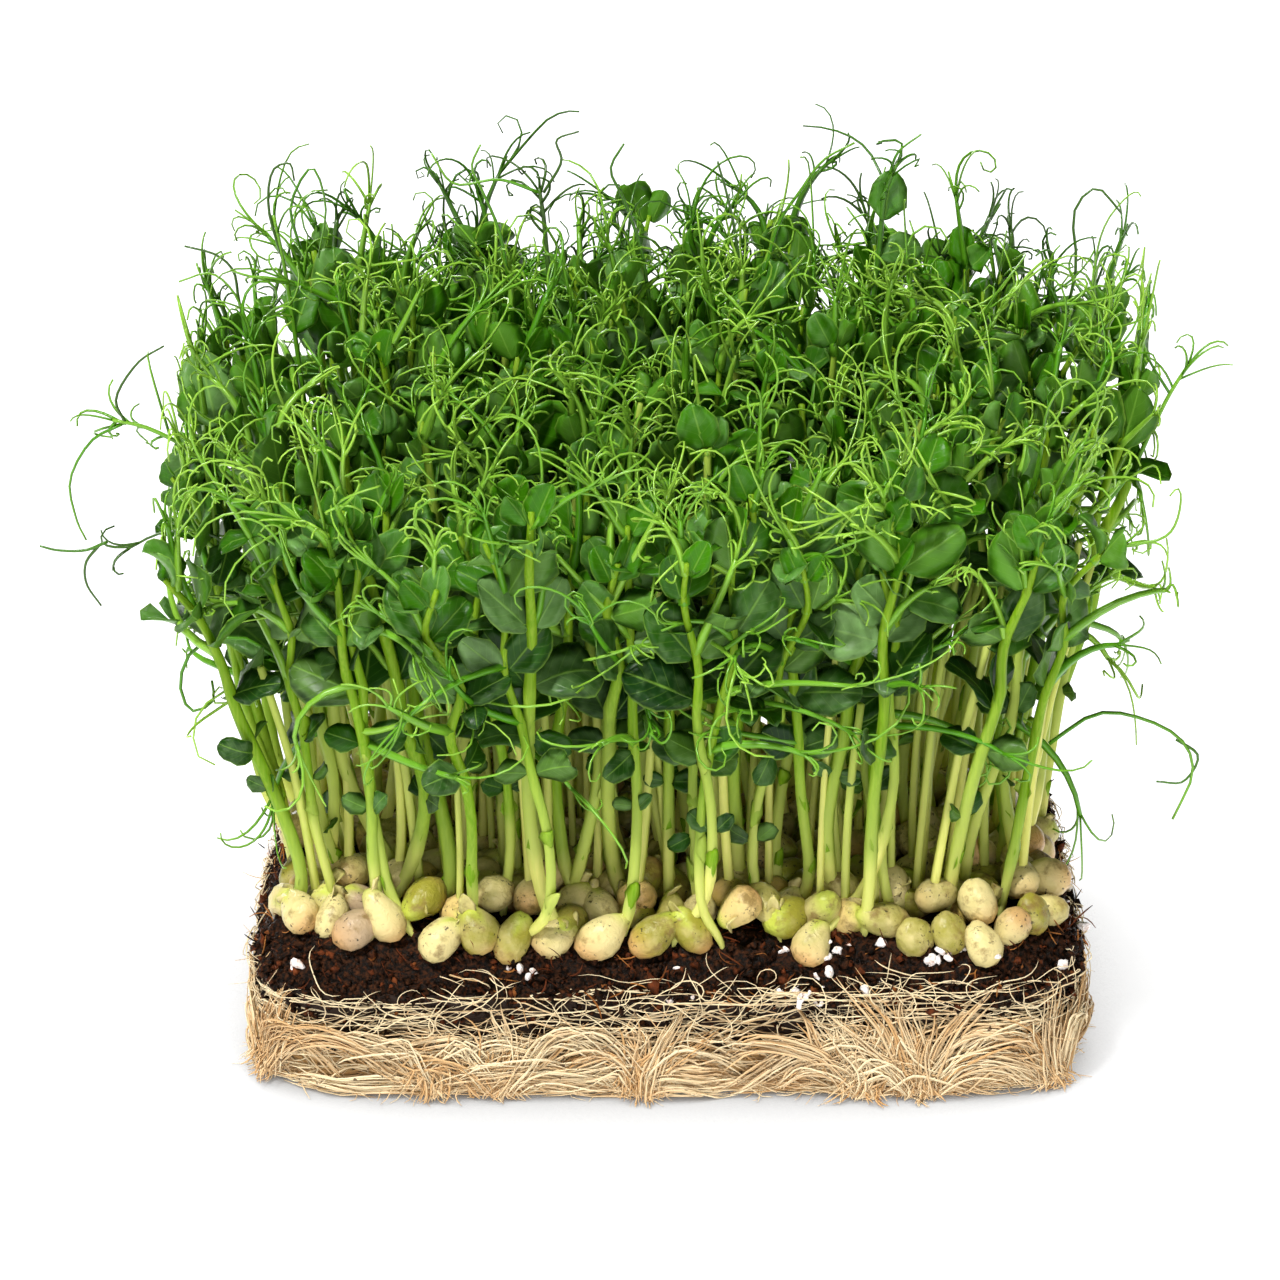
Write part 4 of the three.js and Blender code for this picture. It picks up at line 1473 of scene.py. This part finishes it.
def stems(rng, stand, plant):
    """Stems taper from foot to tip and swell at each node. Level is how green the skin is."""
    share = np.linspace(0, 1, LINE_RINGS)
    taper = np.interp(share, STEM_SHARES, STEM_TAPER)
    # The lowest node is at a different height on each plant.
    first = rng.uniform(0.24, 0.36, stand.total)
    swell = 0.16 * np.exp(-(((share - first[:, None]) / 0.02) ** 2))
    for node in NODES:
        swell = swell + 0.15 * np.exp(-(((share - node) / 0.016) ** 2))
    radius = plant.stem_width / MM / 2 * taper * (1 + swell) * rng.uniform(0.76, 1.12, (stand.total, 1))
    # The skin is greener above the first node. Inside the stand it is paler: partly blanched in the dark
    # there, and partly painted light for the glow that fills the stand.
    height = stand.lines[..., 2] - MEDIUM_TOP
    level = height / 125 + 0.2 * (share > first[:, None])
    level = np.clip(level * np.where(stand.rim, 1.0, 0.5)[:, None], 0, 1)
    everyone = np.arange(stand.total)
    bodies = [tubes(stand.lines, radius, 6, everyone, tint=stand.tint, level=level)]

    # Scale leaves sheathe the stem at its lowest nodes.
    for place, chance in [(first, 1.0), (first + rng.uniform(0.1, 0.16, stand.total), 0.6)]:
        owner = everyone[rng.random(stand.total) < chance]
        foot, heading = point_on(stand.lines, place)
        azimuth = rng.uniform(0, 2 * math.pi, len(owner))
        outward = unit(heading[owner] + compass(azimuth) * rng.uniform(0.02, 0.3, (len(owner), 1)))
        scales = blades(
            foot[owner] + compass(azimuth) * plant.stem_width / MM * 0.42,
            outward,
            across(-compass(azimuth), outward),
            rng.uniform(4.5, 8, len(owner)),
            rng.uniform(3.2, 4.6, len(owner)),
            rng.normal(-0.5, 0.3, len(owner)),
            rng.uniform(0.8, 1.3, len(owner)),
            (4, 4),
            owner,
            rng.uniform(0, 6.3, len(owner)),
            tint=rng.uniform(0.3, 1, len(owner)),
            level=rng.uniform(0.3, 0.9, len(owner)),
        )
        bodies.append(only(scales, ["tint", "level", "along"]))
    return bodies


def late_shoots(rng, stand, plant):
    """Thin, pale shoots that came up late inside the stand and end in the dark under the leaves."""
    foot = rng.permutation(stand.peas[stand.own :])
    foot = foot[inside_outline(foot, 12)][:LATE_SHOOTS]
    total = len(foot)
    owner = stand.nearest_in_rows(foot)
    rings = 10
    reach = rng.uniform(50, 88, total)
    sway = compass(rng.uniform(0, 2 * math.pi, total)) * rng.uniform(1, 9, (total, 1))
    controls = []
    for share in (0, 0.25, 0.6, 1):
        place = foot + sway * share**0.7
        place[:, :2] *= 1 + FAN * share**2
        controls.append(place + np.outer(reach * share, [0, 0, 1]))
    paths = smooth_path(np.stack(controls, axis=1), rings)
    radius = plant.stem_width / MM / 2 * rng.uniform(0.55, 0.85, (total, 1))
    radius = radius * np.linspace(1, 0.8, rings)
    level = np.clip((paths[..., 2] - MEDIUM_TOP) / 220, 0, 1)
    return tubes(paths, radius, 5, owner, tint=rng.uniform(0, 1, total), level=level)


# ---- Tendrils ----

STRAND_RINGS = 8
LONG_RINGS = 14
# A curl tightens towards its end, and is drawn out along its axis.
CURL = dict(tighten=2.2, pitch=0.15)
# Where tendrils leave their stalk, in pairs and then at its end, and how wide each opens.
STRAND_SHARES = np.array([0.5, 0.54, 0.64, 0.67, 0.76, 0.79, 0.87, 0.9, 0.95, 0.97, 0.99])
STRAND_OPENINGS = np.array([0.9, -0.9, 0.8, -0.8, 0.7, -0.65, 0.55, -0.5, 0.35, -0.35, 0.05])
# Half the width and depth and the full height of the canopy, then of the room that strays have,
# and how far past that a curl may reach.
CANOPY = np.array([103, 80, CAD_BOX[1].z / MM])
STRAY_ROOM = CANOPY + [25, 12, 2]
OVERHANG = 11


def kept_inside(points, room=CANOPY):
    """Draws in the ends that reach far out, so that the canopy keeps its size."""
    over = np.maximum(np.abs(points) - room, 0)
    return np.clip(points, -room, room) + np.sign(points) * over / (1 + over / OVERHANG)


def curls(rng, stalks, side, owner, strands, strand_length, thick, tint, room=CANOPY):
    """Tendrils along the far half of each stalk, most of them hooked at the end."""
    stalk = np.repeat(np.arange(len(stalks)), strands)
    many = len(stalk)
    start, forward = point_on(stalks[stalk], np.tile(STRAND_SHARES[-strands:], len(stalks)))
    sideways = across(side[stalk] + rng.normal(0, 0.55, (many, 3)), forward)
    opening = np.tile(STRAND_OPENINGS[-strands:], len(stalks)) + rng.normal(0, 0.22, many)
    outward = forward * np.cos(opening)[:, None] + sideways * np.sin(opening)[:, None]
    hinge = np.cross(forward, sideways) * np.sign(opening)[:, None]
    axis = across(hinge + rng.normal(0, 0.6, (many, 3)), outward)
    turn = (0.5 + rng.gamma(2.0, 1.05, many)) * rng.choice([1, 1, -1], many)
    turn = turn * np.where(rng.random(many) < 0.2, 1.9, 1)
    reach = strand_length * rng.gamma(6, 1 / 6, many)
    paths = curling_paths(start, outward, axis, reach, turn, STRAND_RINGS, **CURL)
    slim = np.linspace(1, 0.6, STRAND_RINGS) * rng.uniform(0.8, 1.15, (many, 1))
    return tubes(kept_inside(paths, room), thick / 2 * slim, 3, owner[stalk], tint=tint[stalk])


def tendril_bunches(rng, stalks, side, owner, strands, strand_length, thick, silhouette_shade):
    """Leaf stalks with their tendrils. One in four has a long tendril that loops away."""
    total = len(stalks)
    # Silhouette shade lowers the tint: painted shade that the skin shows as dark olive.
    tint = rng.uniform(0, 1, total) - silhouette_shade
    slim = np.linspace(1.4, 0.65, STALK_RINGS) * rng.uniform(0.8, 1.2, (total, 1))
    bodies = [tubes(kept_inside(stalks), thick * slim, 4, owner, tint=tint, along=np.zeros(total))]
    bodies.append(curls(rng, stalks, side, owner, strands, strand_length, thick, tint))

    long = np.flatnonzero(rng.random(total) < 0.25)
    start, forward = point_on(stalks[long], np.full(len(long), 0.9))
    axis = across(rng.normal(size=(len(long), 3)), forward)
    turn = rng.uniform(2, 6.5, len(long)) * rng.choice([-1, 1], len(long))
    reach = rng.uniform(18, 38, len(long))
    paths = curling_paths(start, forward, axis, reach, turn, LONG_RINGS, **CURL)
    slim = np.linspace(1.15, 0.6, LONG_RINGS) * rng.uniform(0.85, 1.1, (len(long), 1))
    bodies.append(tubes(kept_inside(paths), thick / 2 * slim, 3, owner[long], tint=tint[long]))
    return bodies


def tendrils(rng, stand, plant):
    """A branched bunch on the leaf stalk at each tier."""
    batches = []
    thick = plant.tendril_width / MM
    for tier, (owner, stalks, side) in zip(LEAF_TIERS, leaf_stalks(stand)):
        # The tendrils at the top of the back rows get silhouette shade: a lower tint, painted shade that
        # makes them dark olive against the bright backdrop.
        silhouette_shade = tier["level"] * np.interp(stand.feet[owner, 1], [15, 45], [0, 0.9])
        batches += tendril_bunches(
            rng, stalks, side, owner, tier["strands"], tier["strand_length"], thick, silhouette_shade
        )
    return batches


# ---- Strays ----

# Stalks that stray past the rest of the canopy: how many tendrils curl from each, how thick it is
# in tendril widths, and its course in millimetres. A few are single tendrils.
STRAY_STALKS = [
    (9, 1.9, [(-80, -20, 112), (-93, -20, 127), (-104, -20, 135), (-115, -20, 141), (-123, -20, 143)]),
    (0, 1.0, [(-120, -20, 142), (-122, -20, 148), (-117, -20, 156), (-111, -20, 160)]),
    (0, 1.0, [(-121, -20, 142), (-128, -20, 138), (-133, -20, 129), (-132, -20, 120), (-130, -20, 115)]),
    (4, 1.2, [(-84, -30, 108), (-93, -30, 114), (-102, -30, 120), (-112, -30, 120), (-120, -30, 116)]),
    (0, 1.1, [(-124, -30, 118), (-129, -30, 116), (-135, -30, 116), (-139, -30, 117)]),
    (0, 1.0, [(-126, -30, 117), (-129, -30, 113), (-129, -30, 108), (-126, -30, 103)]),
    (0, 1.3, [(-86, -40, 94), (-94, -40, 99), (-104, -40, 97), (-108, -40, 89), (-106, -40, 82),
              (-101, -40, 84), (-101, -40, 89)]),
    (0, 1.3, [(84, -45, 76), (94, -45, 83), (104, -45, 82), (113, -45, 77), (116, -45, 69), (112, -45, 58)]),
    (0, 1.0, [(112, -45, 77), (117, -45, 73), (114, -45, 67), (108, -45, 67)]),
    (6, 1.8, [(96, 0, 112), (105, 0, 125), (109, 0, 134), (113, 0, 143), (117, 0, 150)]),
    (0, 1.0, [(113, 0, 143), (108, 0, 151), (106, 0, 157)]),
    (0, 1.2, [(88, 30, 132), (91, 30, 149), (94, 30, 164), (93, 30, 177), (98, 30, 183), (104, 30, 177)]),
    (7, 2.2, [(44, 20, 130), (46, 20, 152), (48, 20, 171), (49, 20, 184), (52, 20, 192)]),
    (0, 1.0, [(50, 20, 189), (52, 20, 194), (57, 20, 198)]),
    (0, 1.2, [(22, 20, 165), (25, 20, 177), (30, 20, 185), (35, 20, 192), (42, 20, 196)]),
    (5, 1.7, [(-84, 25, 132), (-86, 25, 151), (-88, 25, 167), (-90, 25, 178)]),
    (0, 1.0, [(-88, 25, 167), (-91, 25, 179), (-90, 25, 188), (-86, 25, 190), (-85, 25, 186)]),
    (0, 1.0, [(-84, 25, 170), (-86, 25, 180), (-81, 25, 189), (-78, 25, 180), (-80, 25, 168)]),
    (8, 2.0, [(-22, 10, 130), (-25, 10, 155), (-27, 10, 169), (-28, 10, 181), (-29, 10, 188)]),
    (0, 1.1, [(-29, 10, 187), (-38, 10, 190), (-48, 10, 189), (-53, 10, 196)]),
    (0, 1.0, [(-28, 10, 187), (-24, 10, 194), (-25, 10, 199), (-20, 10, 201)]),
    (0, 1.1, [(-36, 10, 166), (-38, 10, 178), (-42, 10, 188), (-44, 10, 193), (-42, 10, 198)]),
    (0, 1.1, [(-96, 20, 150), (-98, 20, 159), (-99, 20, 166), (-103, 20, 170), (-110, 20, 172)]),
    (0, 1.0, [(-94, 15, 148), (-96, 15, 156), (-99, 15, 163), (-104, 15, 167), (-111, 15, 165)]),
    (0, 1.2, [(-4, 15, 158), (-6, 15, 172), (-10, 15, 184), (-13, 15, 191), (-10, 15, 197)]),
    (0, 1.1, [(17, 15, 162), (15, 15, 177), (13, 15, 186), (11, 15, 193)]),
]
# How long a tendril on them is.
STRAY_CURL = 14
# Leaves on them: foot, azimuth and rise of the midrib and azimuth of the upper side in degrees,
# size as a share of a grown leaf, and how young it is.
STRAY_LEAVES = [
    ((-104, -20, 135), 200, -30, 270, 0.62, 0.3),
    ((-103, -20, 134), 160, 40, 290, 0.5, 0.4),
    ((-97, -30, 118), 250, -50, 280, 0.65, 0.2),
    ((49, 20, 178), 60, 75, 280, 0.72, 0.9),
    ((48, 20, 170), 10, 10, 260, 0.66, 0.7),
    ((-86, 25, 150), 40, 65, 260, 0.72, 0.9),
    ((-8, 20, 160), 170, 70, 270, 0.7, 0.9),
    ((-84, 10, 134), 160, 40, 300, 0.8, 0.8),
    ((-86, -5, 126), 200, 10, 290, 0.8, 0.5),
    ((100, 0, 122), 20, 60, 250, 0.7, 0.6),
    ((-101, -10, 138), 130, 72, 285, 1.1, 0.9),
    ((-99, -12, 128), 200, 35, 290, 0.85, 0.7),
    ((-76, 25, 156), 100, 75, 275, 0.9, 1.0),
    ((22, 20, 156), 40, 70, 260, 0.8, 0.9),
]


def stray_tendrils(rng, plant):
    """The stray stalks, and the tendrils of those that bear them."""
    thick = plant.tendril_width / MM
    strands = np.array([stray[0] for stray in STRAY_STALKS])
    width = thick * np.array([stray[1] for stray in STRAY_STALKS])
    paths = np.concatenate(
        [smooth_path(np.array([course], float), LONG_RINGS) for _, _, course in STRAY_STALKS]
    )
    # Most strays get a tint under 0: painted shade that makes them dark olive against the bright backdrop.
    tint = rng.uniform(-0.9, 0.2, len(paths))
    radius = width[:, None] / 2 * np.linspace(1, 0.6, LONG_RINGS)
    bodies = [tubes(paths, radius, 5, tint=tint)]
    for number in np.unique(strands[strands > 0]):
        chosen = np.flatnonzero(strands == number)
        side = across(rng.normal(size=(len(chosen), 3)), paths[chosen, -1] - paths[chosen, -2])
        owner = np.zeros(len(chosen), int)
        bodies.append(
            curls(rng, paths[chosen], side, owner, number, STRAY_CURL, thick, tint[chosen], STRAY_ROOM)
        )
    return bodies


def stray_leaves(rng, plant):
    """The leaves of the stray stalks."""
    foot = np.array([leaf[0] for leaf in STRAY_LEAVES], float)
    azimuth, rise, facing = np.radians([leaf[1:4] for leaf in STRAY_LEAVES]).T
    share, level = np.array([leaf[4:] for leaf in STRAY_LEAVES]).T
    total = len(foot)
    heading = compass(azimuth, rise)
    return blades(
        foot,
        heading,
        across(compass(facing, 0.3), heading),
        plant.leaf_length / MM * share,
        plant.leaf_width / MM * share,
        rng.normal(0.3, 0.2, total),
        rng.uniform(0.1, 0.4, total),
        (4, 8),
        np.zeros(total, int),
        rng.uniform(0, 2 * math.pi, total),
        tint=rng.uniform(0, 1, total),
        level=level,
        bloom=rng.uniform(-0.1, 0.3, total),
    )


# ---- Stage ----

# The middle of the plants, where the camera looks, in millimetres.
MIDDLE = (-6.4, 0, 84)
# How far the floor reaches each way, in metres, and how far from the slab its painted shadow fades out.
FLOOR_REACH = 4.0
PAINTED_SHADOW_REACH = 90
# The lamps: the way to each, its strength, and how wide it looks in degrees.
LAMPS = [
    ("key_light", (-0.36, -0.4, 1.0), 4.9, 8),
    ("fill_light", (0.15, -1.0, 0.2), 1.05, 24),
    ("back_light", (-0.15, 1.0, 0.25), 1.8, 25),
]


def white_walls():
    """Painted studio walls. They look white, and give little light."""
    world = bpy.data.worlds.new("white studio")
    world.use_nodes = True
    tree = world.node_tree
    backdrop = tree.nodes["Background"].inputs
    backdrop["Color"].default_value = (1, 1, 1, 1)
    seen = add(tree, "LightPath").outputs["Is Camera Ray"]
    wall = add(tree, "MapRange", {"Value": seen, "To Min": 0.08, "To Max": 1.0})
    tree.links.new(wall.outputs[0], backdrop["Strength"])
    return world


def opal_acrylic(stage):
    """Opal acrylic, matt, with a light under it. It lights the plants evenly. The camera sees its glow
    dimmed close round the slab, by how much stands near: a painted contact shadow."""
    material, tree = new_material("opal acrylic, lit from beneath, painted contact shadow")
    # Painted shadow: the glow that the camera sees is dimmed by how much stands within reach.
    clear = add(tree, "AmbientOcclusion", {"Distance": PAINTED_SHADOW_REACH * MM}, samples=4)
    # Where nothing stands near, the sheet comes out just past white.
    white = add(tree, "Math", {0: clear.outputs["AO"], 1: 1.32}, operation="MULTIPLY")
    sheet = add(
        tree, "BsdfPrincipled",
        {"Base Color": rgba(linear("#5A5A5A")), "Roughness": 0.9,
         "Emission Color": rgba(stage.floor), "Emission Strength": white.outputs[0]},
    )
    glow = add(tree, "Emission", {"Color": rgba(stage.floor), "Strength": stage.floor_glow})
    seen = add(tree, "LightPath").outputs["Is Camera Ray"]
    lit = add(tree, "MixShader", {0: seen, 1: glow.outputs[0], 2: sheet.outputs[0]})
    add(tree, "OutputMaterial", {"Surface": lit.outputs[0]})
    return material


def lay_floor(stage):
    """One flat sheet under everything."""
    corners = [
        (x * FLOOR_REACH, y * FLOOR_REACH, 0) for x, y in ((-1, -1), (1, -1), (1, 1), (-1, 1))
    ]
    mesh = bpy.data.meshes.new("opal_floor")
    mesh.from_pydata(corners, [], [(0, 1, 2, 3)])
    mesh.materials.append(opal_acrylic(stage))
    floor = bpy.data.objects.new("opal_floor", mesh)
    bpy.context.scene.collection.objects.link(floor)


def hang_lamps():
    """Soft lamps, far enough off to light everything alike."""
    for name, way, strength, spread in LAMPS:
        light = bpy.data.lights.new(name, "SUN")
        light.energy = strength
        light.angle = math.radians(spread)
        lamp = bpy.data.objects.new(name, light)
        lamp.rotation_euler = (-Vector(way)).to_track_quat("-Z", "Y").to_euler()
        bpy.context.scene.collection.objects.link(lamp)


def stand_camera(stage):
    """The camera, in front of the slab and a little above it."""
    tilt = stage.camera_elevation
    back = Vector((0, -math.cos(tilt), math.sin(tilt)))
    camera = bpy.data.objects.new("camera", bpy.data.cameras.new("camera"))
    camera.data.lens = stage.lens
    camera.location = Vector(MIDDLE) * MM + back * stage.camera_distance
    camera.rotation_euler = (math.pi / 2 - tilt, 0, 0)
    bpy.context.scene.collection.objects.link(camera)
    return camera


# ---- Operators ----


class GrowMedium(bpy.types.Operator):
    """Lay the crumbled medium with its chips, coir threads and perlite"""

    bl_idname = "pea_shoots.medium"
    bl_label = "Medium"

    def execute(self, context):
        slab = context.scene.pea_slab
        rng = seeded("medium")
        medium, rings = growing_medium(slab), medium_rings()
        make_piece("medium", [medium_block(rings)], medium, ["soil_block"])
        make_piece("medium_crumbs", [crumbs(rng, slab, rings)], medium)
        make_piece("coir_fibres", [coir_fibres(rng, slab, rings)], medium)
        make_piece("perlite_grains", [perlite_grains(rng, slab, rings)], perlite(slab))
        return {"FINISHED"}


class GrowRoots(bpy.types.Operator):
    """Felt the roots round the slab"""

    bl_idname = "pea_shoots.roots"
    bl_label = "Roots"

    def execute(self, context):
        slab = context.scene.pea_slab
        rng = seeded("roots")
        fibre = root_fibre(slab)
        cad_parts["root_mat"].data.materials[0] = root_backing()
        make_piece("felt_roots", [felt_roots(rng, slab)], fibre)
        make_piece("hank_roots", [hank_roots(rng, slab)], fibre)
        make_piece("climbing_roots", [climbing_roots(rng, slab)], fibre)
        make_piece("root_tips", [root_tips(rng, slab)], fibre)
        make_piece("floor_roots", [floor_roots(rng, slab)], fibre)
        return {"FINISHED"}


class GrowPeas(bpy.types.Operator):
    """Sow the soaked peas over the medium"""

    bl_idname = "pea_shoots.peas"
    bl_label = "Peas"

    def execute(self, context):
        plant = context.scene.pea_plant
        stand = Stand(plant)
        bodies = pea_bodies(seeded("peas"), stand, plant)
        build_parts(stand, "peas", bodies, pea_coat(plant), "pea_seed")
        return {"FINISHED"}


class GrowStems(bpy.types.Operator):
    """Grow the stems with their scale leaves"""

    bl_idname = "pea_shoots.stems"
    bl_label = "Stems"

    def execute(self, context):
        plant = context.scene.pea_plant
        stand = Stand(plant)
        bodies = stems(seeded("stems"), stand, plant)
        bodies.append(late_shoots(seeded("late shoots"), stand, plant))
        build_parts(stand, "shoot", bodies, stem_skin(plant), "stem")
        return {"FINISHED"}


class GrowLeaves(bpy.types.Operator):
    """Unfold the leaves, tier by tier"""

    bl_idname = "pea_shoots.leaves"
    bl_label = "Leaves"

    def execute(self, context):
        plant = context.scene.pea_plant
        stand = Stand(plant)
        bodies = leaves(seeded("leaves"), stand, plant)
        build_parts(stand, "leaves", bodies, leaf_blade(plant), "leafy_top")
        return {"FINISHED"}


class GrowTendrils(bpy.types.Operator):
    """Curl the tendrils out of the leaf stalks"""

    bl_idname = "pea_shoots.tendrils"
    bl_label = "Tendrils"

    def execute(self, context):
        plant = context.scene.pea_plant
        stand = Stand(plant)
        bodies = tendrils(seeded("tendrils"), stand, plant)
        build_parts(stand, "tendrils", bodies, tendril_skin(plant), "leafy_top")
        return {"FINISHED"}


class GrowStrays(bpy.types.Operator):
    """Let a few stalks stray past the rest"""

    bl_idname = "pea_shoots.strays"
    bl_label = "Strays"

    def execute(self, context):
        plant = context.scene.pea_plant
        rng = seeded("strays")
        stalks = stray_tendrils(rng, plant)
        make_piece("stray_tendrils", stalks, bpy.data.materials["pea tendril, wiry"])
        blade = bpy.data.materials["pea leaf, waxy bloom"]
        make_piece("stray_leaves", [stray_leaves(rng, plant)], blade)
        return {"FINISHED"}


class SetStage(bpy.types.Operator):
    """Set the white walls, the lit floor, the lamps and the camera"""

    bl_idname = "pea_shoots.stage"
    bl_label = "Stage"

    def execute(self, context):
        scene, stage = context.scene, context.scene.pea_stage
        scene.view_settings.view_transform = "Standard"
        scene.world = white_walls()
        lay_floor(stage)
        hang_lamps()
        scene.camera = stand_camera(stage)
        return {"FINISHED"}


class PeaShootPanel(bpy.types.Panel):
    """Lists the steps that grow the slab"""

    bl_idname = "VIEW3D_PT_pea_shoots"
    bl_label = "Pea shoots"
    bl_space_type = "VIEW_3D"
    bl_region_type = "UI"
    bl_category = "Pea shoots"

    def draw(self, context):
        for step in STEPS:
            self.layout.operator(step.bl_idname)
        for settings in (context.scene.pea_slab, context.scene.pea_plant, context.scene.pea_stage):
            box = self.layout.box()
            for name in settings.__annotations__:
                box.prop(settings, name)


SETTINGS = {"pea_slab": SlabSettings, "pea_plant": PlantSettings, "pea_stage": StageSettings}
STEPS = [
    GrowMedium, GrowRoots, GrowPeas, GrowStems, GrowLeaves, GrowTendrils, GrowStrays, SetStage,
]


def register():
    """Registers the classes, and gives the scene its settings."""
    for group in (*SETTINGS.values(), *STEPS, PeaShootPanel):
        bpy.utils.register_class(group)
    for name, group in SETTINGS.items():
        setattr(bpy.types.Scene, name, PointerProperty(type=group))


def unregister():
    """Takes the settings and the classes away again."""
    for name in SETTINGS:
        delattr(bpy.types.Scene, name)
    for group in (PeaShootPanel, *reversed(STEPS), *reversed(SETTINGS.values())):
        bpy.utils.unregister_class(group)


def main():
    """Registers the add-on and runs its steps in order."""
    register()
    bpy.ops.pea_shoots.medium()
    bpy.ops.pea_shoots.roots()
    bpy.ops.pea_shoots.peas()
    bpy.ops.pea_shoots.stems()
    bpy.ops.pea_shoots.leaves()
    bpy.ops.pea_shoots.tendrils()
    bpy.ops.pea_shoots.strays()
    bpy.ops.pea_shoots.stage()


if __name__ == "__main__":
    main()
